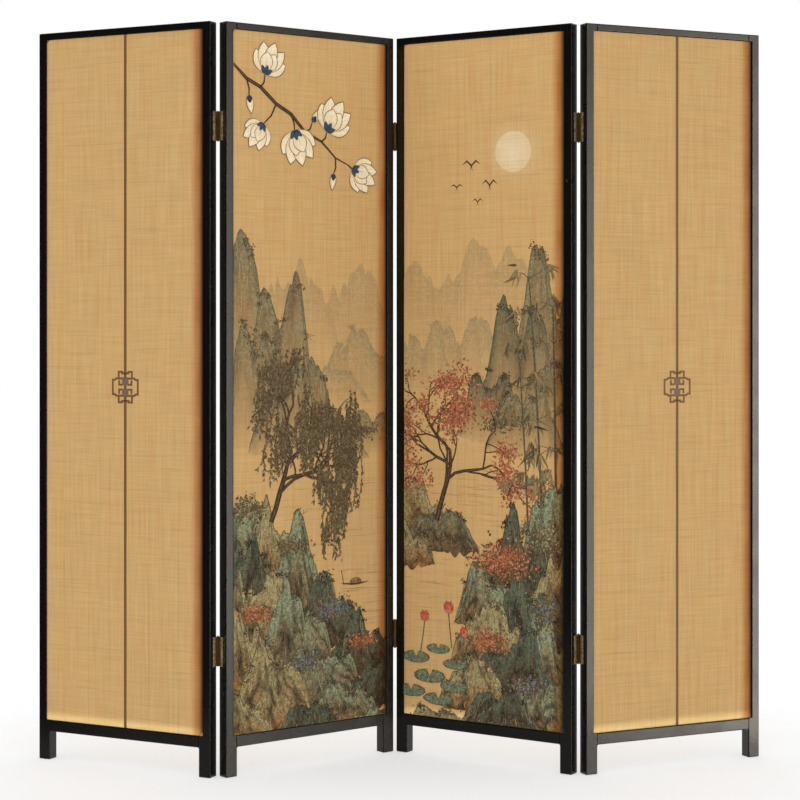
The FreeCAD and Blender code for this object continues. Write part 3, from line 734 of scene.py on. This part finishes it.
def crag(sheet, x, z, width, height, palette, solid, lines):
    """A lumpy crag with its foot at z: rounded lumps with dark clefts, lighter towards the top.

    Places on it are given by t, from -1 to 1 across it, and v, from 0 at its crest to 1 at its
    foot. lines is how many fine strokes follow its slopes.
    """
    dark, body, cap = palette
    luck = sheet.luck
    seed = luck.uniform(0, 100)

    def lump(a, b, layer):
        return 2 * abs(ripple(a, b, seed + layer))

    # Broad lumps make its crown, with knobs that fade where it is taller than it is wide
    def crown(t):
        knobs = 0.24 * lump(3 * t, 0, 5) + 0.08 * lump(9 * t, 0, 9)
        shape = 0.55 + 0.5 * lump(1.1 * t + seed, 0, 0) + knobs * min(1, width / height) ** 2
        return max((1 - abs(t) ** 3) * shape, 0)

    def place(t, v):
        waterline = z - 0.07 * width * (1 - t * t) * (0.4 + lump(4 * t, 2, 13))
        top = z + height * crown(t)
        return x + width / 2 * t, top + (waterline - top) * v

    def cover(v):
        return solid[0] + (solid[1] - solid[0]) * v

    peak = max((crown(c / 12), c / 12) for c in range(-10, 11))[1]

    # Large and small lumps fan out from the peak, and the clefts between them are dark
    def point(v, t):
        fan = (t - peak) / (0.45 + 0.7 * v)
        big = lump(2.1 * fan, 1.7 * v, 3)
        small = lump(6 * fan, 5 * v, 7)
        crest = 1.25 - 1.5 * v + 0.5 * ripple(3 * t, 3 * v, seed + 11)
        lit = -0.14 + 1.05 * big + 0.75 * small + 0.35 * (1 - v) ** 2
        return (*place(t, v), tint(dark, tint(body, cap, crest), lit), cover(v))

    columns, rows = max(int(width / ROCK_COLUMN), 16), max(int(height / ROCK_ROW), 12)
    sheet.grid(rows, columns, point)
    for _ in range(lines):
        t, v = luck.uniform(-0.88, 0.88), luck.uniform(0.01, 0.85)
        drop = luck.uniform(0.05, 0.16)
        drift = (t - peak) * drop * 1.1
        pigment = dark if luck.random() < 0.75 else cap
        share = cover(v) * luck.uniform(0.5, 0.9)
        bend = luck.gauss(0, 0.012)
        line = [place(t + drift * s + bend * s * s, v + drop * s) for s in (0, 0.35, 0.7, 1)]
        sheet.brush(line, luck.uniform(0.9, 1.9), pigment, share, start=0.6, loose=True)
    crest = [place(2 * column / columns - 1, 0) for column in range(1, columns)]
    edge = CREST_LINE * solid[0] ** 2
    sheet.brush(crest, edge, dark, 0.9 * solid[0], start=0.5, end=0.5, loose=True)
    mosses = (dark, tint(dark, cap, 0.2), tint(dark, cap, 0.4))
    for _ in range(lines // 9):
        tuft_x, tuft_z = place(luck.uniform(-0.85, 0.85), luck.uniform(0, 0.05))
        spread = luck.uniform(4, 9)
        shares = (solid[0], solid[0])
        sheet.scatter(tuft_x, tuft_z, (spread, 0.7 * spread), TUFT_DABS, (1.3, 3.0), mosses, shares)
    sheet.settle()


def outcrop(sheet, crags, palettes, solid=SOLID_ROCK, lines=90):
    """Crags piled one before another, from the back one to the front one.

    Each is given by its middle, its foot, its width and its height.
    """
    for index, (x, z, width, height) in enumerate(crags):
        crag(sheet, x, z, width, height, palettes[index % len(palettes)], solid, lines)


# Trees: a trunk that forks, with leaves on its twigs

TWIG_LEVEL = 3
BOUGH_STEPS = 5
MAPLE_REDS = (
    VERMILION, RUST, BLUSH, tint(RUST, INK, 0.3), tint(RUST, INK, 0.7), tint(BLUSH, UMBER, 0.5),
)
MAPLE_DABS = 95
MAPLE_LEAN = 1.25
MAPLE_TRUNK = 13
WILLOW_GREENS = (DEEP_INK, INK, tint(INK, MALACHITE, 0.3), tint(UMBER, DEEP_MALACHITE, 0.5))
WILLOW_LEAN = 1.35
WILLOW_TRUNK = 14
WILLOW_FRONDS = 9
WILLOW_LEAF_SPACING = 3.5


def bough(sheet, x, z, angle, length, width, level=TWIG_LEVEL):
    """A branch that wanders and forks into thinner ones. Returns the ends of its twigs."""
    luck = sheet.luck
    line = [(x, z)]
    for _ in range(BOUGH_STEPS):
        angle += luck.gauss(0, 0.2)
        x, z = step(x, z, angle, length / BOUGH_STEPS)
        line.append((x, z))
    taper = 0.6 if level else 0.2
    sheet.brush(line, width, INK, end=taper)
    if width > 4:
        sheet.brush(line, 0.5 * width, UMBER, end=taper)
    if not level:
        return [(x, z)]
    tips = []
    for index in range(2, BOUGH_STEPS + 1):
        if index < BOUGH_STEPS and luck.random() < 0.25:
            continue
        turned = angle + luck.choice((-1, 1)) * luck.uniform(0.35, 0.95)
        shorter = length * luck.uniform(0.55, 0.8)
        tips += bough(sheet, *line[index], turned, shorter, 0.58 * width, level - 1)
    return tips


def maple(sheet, x, z, reach):
    """A leaning maple with a clouded crown of red and rust leaves."""
    for tip in bough(sheet, x, z, MAPLE_LEAN, 0.55 * reach, MAPLE_TRUNK):
        spread = sheet.luck.uniform(13, 25)
        sheet.scatter(*tip, (spread, 0.8 * spread), MAPLE_DABS, (1.8, 4.0), MAPLE_REDS, (0.75, 1))
    sheet.settle()


def willow(sheet, x, z, reach):
    """A willow: a forking trunk whose twigs hang down in long fronds of narrow leaves."""
    luck = sheet.luck
    for tip_x, tip_z in bough(sheet, x, z, WILLOW_LEAN, 0.5 * reach, WILLOW_TRUNK):
        for _ in range(WILLOW_FRONDS):
            top_x, top_z = luck.gauss(tip_x, 16), luck.gauss(tip_z, 12)
            drop, sway = luck.uniform(30, 95), luck.gauss(0, 9)

            def down(s):
                return top_x + sway * s * s, top_z - drop * s

            frond = [down(s) for s in (0, 0.25, 0.5, 0.75, 1)]
            sheet.brush(frond, 1.1, INK, 0.8, loose=True)
            for _ in range(int(drop / WILLOW_LEAF_SPACING)):
                place = down(luck.random())
                angle = luck.gauss(-math.pi / 2, 0.6)
                length, width = luck.uniform(7, 13), luck.uniform(2.4, 4.2)
                green = even(luck.choice(WILLOW_GREENS), 0.9)
                sheet.petal(*place, angle, length, width, green, True, columns=1, rows=3, belly=0.7)
    sheet.settle()


# Low plants and bamboo on the shores

GREEN_BUSH = (DEEP_MALACHITE, INK, MALACHITE)
DARK_BUSH = (DEEP_MALACHITE, INK, UMBER)
BLUE_BUSH = (AZURITE, DEEP_MALACHITE, INDIGO)
RED_BUSH = (VERMILION, RUST, BLUSH, tint(RUST, INK, 0.4))
GRASS_BLADES = 9
GRASS_REACH = 24
BAMBOO_JOINT = 85
BAMBOO_STEM = tint(DEEP_MALACHITE, UMBER, 0.45)


def shrub(sheet, x, z, width, height, pigments, count):
    """A bush of loose dabs over its own shadow, thinner towards its edge."""
    spread = (width / 4, height / 4)
    sheet.scatter(x, z - 3, spread, count, (2, 4), (INK,), (0.85, 0.85))
    sheet.settle()
    sheet.scatter(x, z, spread, count, (1.5, 3.6), pigments, (0.7, 1))
    sheet.settle()


def grass(sheet, x, z):
    luck = sheet.luck
    for _ in range(GRASS_BLADES):
        foot, lean = x + luck.uniform(-1, 1), luck.gauss(0, 0.5)
        blade = [(foot + GRASS_REACH * s * s * lean, z + GRASS_REACH * s) for s in (0, 0.5, 1)]
        pigment = luck.choice((INK, DEEP_MALACHITE))
        sheet.brush(blade, luck.uniform(1.0, 1.8), pigment, 0.9, start=0.8, loose=True)
    sheet.settle()


def bamboo(sheet, x, foot, head, lean, width):
    """A jointed stem with sprays of pointed leaves on its upper half."""
    luck = sheet.luck
    joints = int((head - foot) / BAMBOO_JOINT)
    shares = [joint / joints for joint in range(joints + 1)]
    places = [(x + lean * s ** 1.6, foot + (head - foot) * s) for s in shares]
    for (x0, z0), (x1, z1) in zip(places, places[1:]):
        thick = width * (1 - 0.55 * (z0 - foot) / (head - foot))
        middle = ((x0 + x1) / 2, (z0 + z1) / 2)
        sheet.brush([(x0, z0 + 1.5), middle, (x1, z1 - 1.5)], thick, BAMBOO_STEM, end=1)
        ring = [(x0 - 0.6 * thick, z0), (x0, z0 + 1), (x0 + 0.6 * thick, z0)]
        sheet.brush(ring, 2.4, INK, end=1)
    for x0, z0 in places[2:]:
        for _ in range(luck.randint(2, 3)):
            side = luck.choice((-1, 1))
            twig_x, twig_z = x0 + side * luck.uniform(18, 60), z0 + luck.uniform(5, 45)
            twig = [(x0, z0), ((x0 + twig_x) / 2, z0 + 12), (twig_x, twig_z)]
            sheet.brush(twig, 1.6, BAMBOO_STEM)
            for _ in range(luck.randint(5, 8)):
                angle = -math.pi / 2 + luck.gauss(0.35 * side, 0.55)
                green = tint(luck.choice((INK, DEEP_MALACHITE)), UMBER, luck.uniform(0, 0.35))
                paint = even(green, luck.uniform(0.6, 0.95))
                base = (luck.gauss(twig_x, 6), luck.gauss(twig_z, 6))
                length, breadth = luck.uniform(26, 48), luck.uniform(4, 6.5)
                sheet.petal(*base, angle, length, breadth, paint, True, columns=2, rows=5, belly=0.6)
    sheet.settle()


# Magnolia: each flower or bud is given by its place on the bough, its angle, stalk and size

PETALS = (
    (-1.0, 0.78), (1.0, 0.78), (-0.52, 0.95), (0.52, 0.95), (0.0, 1.0), (-0.25, 0.7), (0.28, 0.66),
)
PETAL_SPREAD = 0.8
PETAL_EDGE = tint(UMBER, OCHRE, 0.4)
SEPALS = (-0.75, 0.0, 0.75)


def cream_petal(s, t):
    return tint(SHELL_WHITE, CREAM, 0.9 * (1 - s) ** 2 + 0.35 * abs(t)), 1.0


def blue_sepal(s, t):
    return tint(INDIGO, AZURITE, 0.5 * s), 1.0


def magnolia_flower(sheet, x, z, angle, size):
    """An open flower: cream petals with umber edges, cupped in a dark blue calyx."""
    for offset, share in PETALS:
        length, width = size * share, 0.42 * size
        turn = angle + offset * PETAL_SPREAD
        edge = even(PETAL_EDGE)
        sheet.petal(x, z, turn, 1.03 * length, 1.1 * width, edge, rows=8, belly=1.15)
        sheet.petal(x, z, turn, length, width, cream_petal, rows=8, belly=1.15)
        for vein in (-0.3, 0.25):
            line = [step(x, z, turn + 0.35 * vein * s, length * s) for s in (0.15, 0.4, 0.65, 0.85)]
            sheet.brush(line, 0.9, OCHRE, 0.8, start=0.3)
    for offset in SEPALS:
        sheet.petal(x, z, angle + offset, 0.3 * size, 0.16 * size, blue_sepal)


def magnolia_bud(sheet, x, z, angle, size):
    sheet.petal(x, z, angle, 1.05 * size, 0.5 * size, even(UMBER))
    sheet.petal(x, z, angle, size, 0.44 * size, lambda s, t: (tint(SHELL_WHITE, CREAM, abs(t)), 1.0))
    sheet.petal(x, z, angle, 0.45 * size, 0.36 * size, even(INDIGO), belly=0.7)


def magnolia(sheet, line, flowers, buds):
    """A bough along a line, with closed buds and open flowers on their stalks."""
    sheet.brush(line, 9, INK, end=0.25)
    sheet.brush(line, 4.5, UMBER, end=0.2)
    blooms = [(magnolia_bud, bud) for bud in buds] + [(magnolia_flower, flower) for flower in flowers]
    ends = []
    for _, (index, angle, reach, _) in blooms:
        x, z = line[index]
        end = step(x, z, angle, reach)
        bend = ((x + end[0]) / 2 + 4, (z + end[1]) / 2 - 4)
        sheet.brush([(x, z), bend, end], 3.6, INK, end=0.6)
        ends.append(end)
    for (bloom, (_, angle, _, size)), end in zip(blooms, ends):
        bloom(sheet, *end, angle, size)


# Lotus and ripples on the lake, and a boat, birds and the moon

BUD_PETALS = ((-0.5, 0.85), (0.5, 0.85), (-0.22, 1.0), (0.22, 1.0), (0.0, 0.9))
LEAF_VEINS = 11


def lotus_leaf(sheet, x, z, wide, high):
    """A round floating leaf seen from the side, with its notch, its veins and a dark rim."""

    def paint(r, angle):
        vein = 0.5 + 0.5 * math.cos(angle * LEAF_VEINS)
        green = tint(DEEP_MALACHITE, MALACHITE, 0.8 * r + 0.5 * vein - 0.2)
        return tint(green, INK, 0.8 * r ** 6), 1.0

    sheet.disc(x, z, wide, high, paint, rings=6, sides=44, ragged=0.04, gap=0.18)


def blushing(s, t):
    return tint(BLUSH, VERMILION, s * s + 0.3 * abs(t)), 1.0


def lotus_bud(sheet, x, z, size, lean):
    stalk = [(x - lean * 3, z - size * 2.6), (x - lean, z - size), (x, z)]
    sheet.brush(stalk, 2.4, DEEP_MALACHITE, end=1)
    for offset, share in BUD_PETALS:
        sheet.petal(x, z, math.pi / 2 + offset, size * share, 0.42 * size, blushing, belly=0.75)


def water(sheet, left, right, low, high, count):
    """Ripples: thin level strokes, denser near the shore in front."""
    luck = sheet.luck
    for _ in range(count):
        z = low + (high - low) * luck.random() ** 1.5
        x = luck.uniform(left, right)
        half = luck.uniform(12, 55)
        line = [(x + half * s, z + luck.gauss(0, 0.8)) for s in (-1, -0.6, -0.2, 0.2, 0.6, 1)]
        pigment, share = tint(MIST, UMBER, luck.uniform(0, 0.6)), luck.uniform(0.3, 0.7)
        sheet.brush(line, luck.uniform(0.8, 1.6), pigment, share, start=0.1, loose=True)
    sheet.settle()


def boat(sheet, x, z, size):
    """A moored boat with a rush canopy, and its reflection."""
    for share, drop in ((0.35, 7), (0.25, 12)):
        mirrored = [(x - size, z - drop), (x, z - drop - 2), (x + 0.8 * size, z - drop)]
        sheet.brush(mirrored, 3, UMBER, share, start=0.1)
    hull, canopy = [], []
    for up, pigment in ((0, INK), (1, UMBER)):
        hull.append([
            (x + size * s, z + size * (0.16 * s * s + 0.13 * up * (1 - s * s)), pigment, 1.0)
            for s in (-1, -0.7, -0.3, 0, 0.3, 0.7, 1)
        ])
        canopy.append([
            (x + size * (0.05 + 0.42 * s), z + size * (0.14 + 0.3 * up * math.sqrt(1 - s * s)),
             tint(OCHRE, UMBER, 0.7 * abs(s)), 1.0)
            for s in (-1, -0.9, -0.6, -0.2, 0.2, 0.6, 0.9, 1)
        ])
    sheet.lay(hull)
    sheet.lay(canopy)
    pole = [(x - 0.75 * size, z), (x - 0.95 * size, z + 0.9 * size)]
    sheet.brush(pole, 1.6, INK, end=1)


def swallow(sheet, x, z, size, turn):
    """A small bird on the wing: two swept wings and a forked tail."""
    for side in (-1, 1):
        tip = (x + side * size, z + 0.1 * size)
        wing = [(x, z), (x + 0.5 * side * size, z + size * (0.35 + turn)), tip]
        sheet.brush(wing, 0.16 * size, INK, 0.95)
        tail = [(x, z), (x + 0.14 * side * size, z - 0.55 * size)]
        sheet.brush(tail, 0.1 * size, INK, 0.95)


def moon(sheet, x, z, radius):
    """A pale disc in its own faint glow."""
    glow = 1.6 * radius
    sheet.disc(x, z, glow, glow, lambda r, angle: (SHELL_WHITE, 0.3 * (1 - r)), rings=8)
    sheet.disc(
        x, z, radius, radius, lambda r, angle: (tint(SHELL_WHITE, CREAM, 0.5 * r), 0.55), sides=48
    )


# The left view, on panel 2: the magnolia bough over crags, a lake and a willow on its shore. What
# a view holds is listed, in mm, as the function that draws it takes it, and drawn from far to near

LEFT_FAR_HILLS = ((120, 960, 340, 250), (-60, 1000, 300, 260))
LEFT_MISTY_HILLS = ((150, 880, 300, 190), (30, 880, 300, 130))
LEFT_CRAGS = (
    (-190, 850, 230, 380), (-95, 820, 220, 430), (-150, 790, 200, 300), (-20, 790, 190, 250),
    (-70, 770, 230, 190),
)
LEFT_ISLETS = ((165, 770, 230, 90), (95, 745, 160, 55))
LEFT_SHORE = (
    (-200, 470, 230, 240), (-110, 420, 230, 210), (-215, 370, 200, 230), (-30, 360, 220, 160),
    (-150, 280, 250, 220), (60, 290, 210, 130), (-50, 220, 240, 200), (-205, 180, 230, 230),
    (140, 220, 190, 110), (30, 140, 260, 160), (-120, 110, 250, 190), (195, 130, 190, 130),
    (100, 90, 220, 110), (-200, 70, 180, 150), (-10, 60, 210, 110), (190, 60, 150, 60),
)
LEFT_SHRUBS = (
    (-25, 255, 100, 46, BLUE_BUSH, 170), (-195, 640, 100, 60, GREEN_BUSH, 200),
    (-60, 540, 90, 40, DARK_BUSH, 160), (-165, 385, 90, 44, RED_BUSH, 190),
    (150, 290, 80, 34, RED_BUSH, 130),
)
LEFT_GRASS = ((-70, 500), (10, 400), (130, 250), (60, 220), (-150, 330), (190, 180), (-40, 150))
MAGNOLIA_BOUGH = (
    (-235, 1700), (-190, 1668), (-150, 1650), (-105, 1612), (-62, 1590), (-20, 1548), (28, 1528),
    (70, 1490), (108, 1474),
)
MAGNOLIA_FLOWERS = (
    (2, 1.2, 34, 82), (4, -1.3, 40, 88), (6, 1.0, 30, 90), (8, -0.5, 16, 78), (3, -2.2, 62, 70),
)
MAGNOLIA_BUDS = ((1, -1.4, 40, 44), (5, 0.9, 34, 42), (7, -1.7, 40, 40))

left_view = Print(cloths[2, "front"], seed=12)
outcrop(left_view, LEFT_FAR_HILLS, (FAR_ROCK,), solid=(0.38, 0.0), lines=16)
outcrop(left_view, LEFT_MISTY_HILLS, (FAR_ROCK,), solid=(0.6, 0.0), lines=20)
outcrop(left_view, LEFT_CRAGS, (MIDDLE_ROCK,), solid=(0.95, 0.1), lines=110)
outcrop(left_view, LEFT_ISLETS, (MIDDLE_ROCK,), solid=(0.8, 0.1), lines=30)
shrub(left_view, 150, 815, 120, 34, DARK_BUSH, 120)
water(left_view, -60, 240, 330, 740, 100)
boat(left_view, 130, 430, 44)
outcrop(left_view, LEFT_SHORE, (NEAR_ROCK, WARM_ROCK, DEEP_ROCK))
shrub(left_view, 60, 375, 110, 56, BLUE_BUSH, 220)
willow(left_view, -120, 600, 360)
for bush in LEFT_SHRUBS:
    shrub(left_view, *bush)
for place in LEFT_GRASS:
    grass(left_view, *place)
magnolia(left_view, MAGNOLIA_BOUGH, MAGNOLIA_FLOWERS, MAGNOLIA_BUDS)
left_view.finish()


# The right view, on panel 3: the moon and birds over crags, with a maple on an islet, bamboo
# behind the shore and lotus in front

SWALLOWS = ((-30, 1470, 26, 0.1), (22, 1420, 22, 0.2), (-72, 1418, 18, 0.0), (-12, 1380, 15, 0.15))
RIGHT_FAR_HILLS = ((-140, 1000, 320, 230), (40, 1040, 320, 240))
RIGHT_MISTY_HILLS = ((-60, 920, 300, 150), (-190, 900, 240, 180))
RIGHT_CRAGS = (
    (190, 850, 230, 380), (95, 830, 230, 300), (200, 790, 200, 260), (30, 800, 190, 170),
    (120, 770, 220, 170),
)
RIGHT_ISLET = ((-195, 560, 200, 110), (-120, 520, 230, 90), (-210, 480, 150, 90))
BAMBOO_STEMS = ((172, 420, 1190, -40, 7), (208, 420, 1120, -10, 8), (134, 400, 1010, -30, 6))
RIGHT_SHORE = (
    (200, 430, 240, 230), (110, 400, 230, 210), (215, 330, 210, 210), (30, 340, 220, 150),
    (150, 250, 250, 210), (20, 240, 220, 160), (205, 160, 230, 200), (90, 160, 250, 170),
    (-20, 130, 210, 120), (170, 90, 250, 140), (50, 80, 240, 110), (-130, 60, 200, 70),
)
RIGHT_SHRUBS = (
    (60, 500, 150, 90, RED_BUSH, 560), (190, 390, 120, 70, BLUE_BUSH, 260),
    (190, 560, 120, 70, GREEN_BUSH, 260), (20, 300, 100, 50, RED_BUSH, 240),
    (130, 200, 110, 50, BLUE_BUSH, 200),
)
RIGHT_GRASS = ((110, 300), (10, 220), (190, 220), (60, 150), (-195, 560))
LOTUS_LEAVES = (
    (-190, 245, 40, 15), (-125, 270, 34, 12), (-75, 235, 36, 13), (-150, 200, 46, 17),
    (-80, 180, 40, 15), (-205, 160, 42, 16), (-125, 145, 44, 15),
)
LOTUS_BUDS = ((-165, 335, 30, 4), (-95, 360, 33, -3), (-50, 305, 28, 3))

right_view = Print(cloths[3, "front"], seed=31)
moon(right_view, 88, 1500, 50)
for bird in SWALLOWS:
    swallow(right_view, *bird)
outcrop(right_view, RIGHT_FAR_HILLS, (FAR_ROCK,), solid=(0.35, 0.0), lines=16)
outcrop(right_view, RIGHT_MISTY_HILLS, (FAR_ROCK,), solid=(0.55, 0.0), lines=20)
outcrop(right_view, RIGHT_CRAGS, (MIDDLE_ROCK, DEEP_ROCK), solid=(0.95, 0.12), lines=110)
shrub(right_view, 60, 840, 130, 40, DARK_BUSH, 180)
water(right_view, -240, 120, 330, 720, 100)
outcrop(right_view, RIGHT_ISLET, (WARM_ROCK, MIDDLE_ROCK), lines=50)
maple(right_view, -130, 590, 330)
for stem in BAMBOO_STEMS:
    bamboo(right_view, *stem)
outcrop(right_view, RIGHT_SHORE, (NEAR_ROCK, DEEP_ROCK, WARM_ROCK))
for bush in RIGHT_SHRUBS:
    shrub(right_view, *bush)
for place in RIGHT_GRASS:
    grass(right_view, *place)
for leaf in LOTUS_LEAVES:
    lotus_leaf(right_view, *leaf)
for bud in LOTUS_BUDS:
    lotus_bud(right_view, *bud)
right_view.finish()


# Studio
# A pale floor under even light, white all round, with a tall strip lamp on the right whose
# reflection greys the lacquer that faces it. The camera stands square to the screen.

# The floor is even up to one radius and gone from the other on. Half of what it shows is the
# white below it, which keeps the shadows faint
FLOOR_SIZE = 8.0
FLOOR_EVEN = 0.95
FLOOR_GONE = 1.35
FLOOR_SHARE = 0.5
# The camera is fitted to the corners of the four panels
CAMERA_PLACE = (0.0003, -4.945, 1.086)
CAMERA_LENS = 90.6
CAMERA_DROP = -0.0984
# What shines mirrors a dark room in front. It turns white towards the back, in full where the
# direction's y reaches WALL_EDGE
ROOM_LEVEL = 0.03
WALL_EDGE = 0.4
# In degrees: where the lamp stands, half its breadth without and with its soft edge, and how far
# it reaches up and down. A small share of it goes on above
LAMP_AZIMUTH = -28.8
LAMP_CORE = 0.5
LAMP_EDGE = 7.2
LAMP_TOP = 13.0
LAMP_FOOT = 34.0
LAMP_FADE = 0.1
LAMP_STRENGTH = 16.5
LAMP_COLOUR = (1.0, 0.9, 0.79)


def build_floor():
    """A round patch of pale floor that ends in nothing, so that the lacquer mirrors no more of it."""
    half = FLOOR_SIZE / 2
    mesh = bpy.data.meshes.new("floor")
    corners = [(-half, -half, 0), (half, -half, 0), (half, half, 0), (-half, half, 0)]
    mesh.from_pydata(corners, [], [(0, 1, 2, 3)])
    even_white = {"Base_Color": linear("#fefefe"), "Roughness": 1.0, "Specular_IOR_Level": 0.0}
    material, tree, shader, where = new_finish("pale_floor", **even_white)
    away = add(tree, "VectorMath", (where,), operation="LENGTH")
    radii = {"From Min": FLOOR_EVEN, "From Max": FLOOR_GONE}
    shares = {"To Min": FLOOR_SHARE, "To Max": 0.0}
    share = add(tree, "MapRange", {"Value": (away, "Value"), **radii, **shares}, **SMOOTH)
    feed(tree, shader, Alpha=share)
    mesh.materials.append(material)
    stand("floor", mesh)


def light_studio():
    """Even white light, but what shines mirrors a dark room in front, with the lamp at its side."""
    world = bpy.data.worlds.new("studio")
    world.use_nodes = True
    world.cycles.sampling_method = "NONE"
    bpy.context.scene.world = world
    tree = world.node_tree
    way = (add(tree, "TexCoord"), "Generated")
    split = add(tree, "SeparateXYZ", {"Vector": way})
    level = add(tree, "VectorMath", (way, (1, 1, 0)), operation="MULTIPLY")
    flat = add(tree, "VectorMath", (level,), operation="NORMALIZE")
    turn = math.radians(LAMP_AZIMUTH)
    facing = (math.cos(turn), math.sin(turn), 0)
    nearness = add(tree, "VectorMath", (flat, facing), operation="DOT_PRODUCT")
    edge, core = math.radians(LAMP_EDGE), math.radians(LAMP_CORE)
    top, foot = math.radians(LAMP_TOP), math.radians(LAMP_FOOT)
    levels = []
    for value, least, most, low, high in (
        ((split, "Y"), 0.0, WALL_EDGE, ROOM_LEVEL, 1.0),
        ((nearness, "Value"), math.cos(edge), math.cos(core), 0.0, LAMP_STRENGTH),
        ((split, "Z"), 0.0, math.sin(top), 1.0, LAMP_FADE),
        ((split, "Z"), -math.sin(foot), -math.sin(foot / 2), 0.0, 1.0),
    ):
        reach = {"Value": value, "From Min": least, "From Max": most, "To Min": low, "To Max": high}
        levels.append(add(tree, "MapRange", reach, **SMOOTH))
    wall, lamp, upper, lower = levels
    tall = add(tree, "Math", (upper, lower), operation="MULTIPLY")
    strip = add(tree, "Math", (lamp, tall), operation="MULTIPLY")
    lamp_light = add(tree, "VectorMath", (LAMP_COLOUR, strip), operation="SCALE")
    wall_light = add(tree, "VectorMath", ((1, 1, 1), wall), operation="SCALE")
    mirrored = add(tree, "VectorMath", (lamp_light, wall_light), operation="ADD")
    glossy = (add(tree, "LightPath"), "Is Glossy Ray")
    seen = add(tree, "Mix", (glossy, (1, 1, 1, 1), mirrored), data_type="RGBA")
    background = tree.nodes["Background"]
    feed(tree, background, Color=seen)
    background.inputs["Strength"].default_value = 1.0


def place_camera():
    camera = bpy.data.cameras.new("camera")
    camera.lens = CAMERA_LENS
    camera.shift_y = CAMERA_DROP
    holder = stand("camera", camera)
    holder.location = CAMERA_PLACE
    holder.rotation_euler = (math.pi / 2, 0, 0)
    bpy.context.scene.camera = holder


build_floor()
light_studio()
place_camera()
bpy.context.scene.view_settings.view_transform = "Standard"
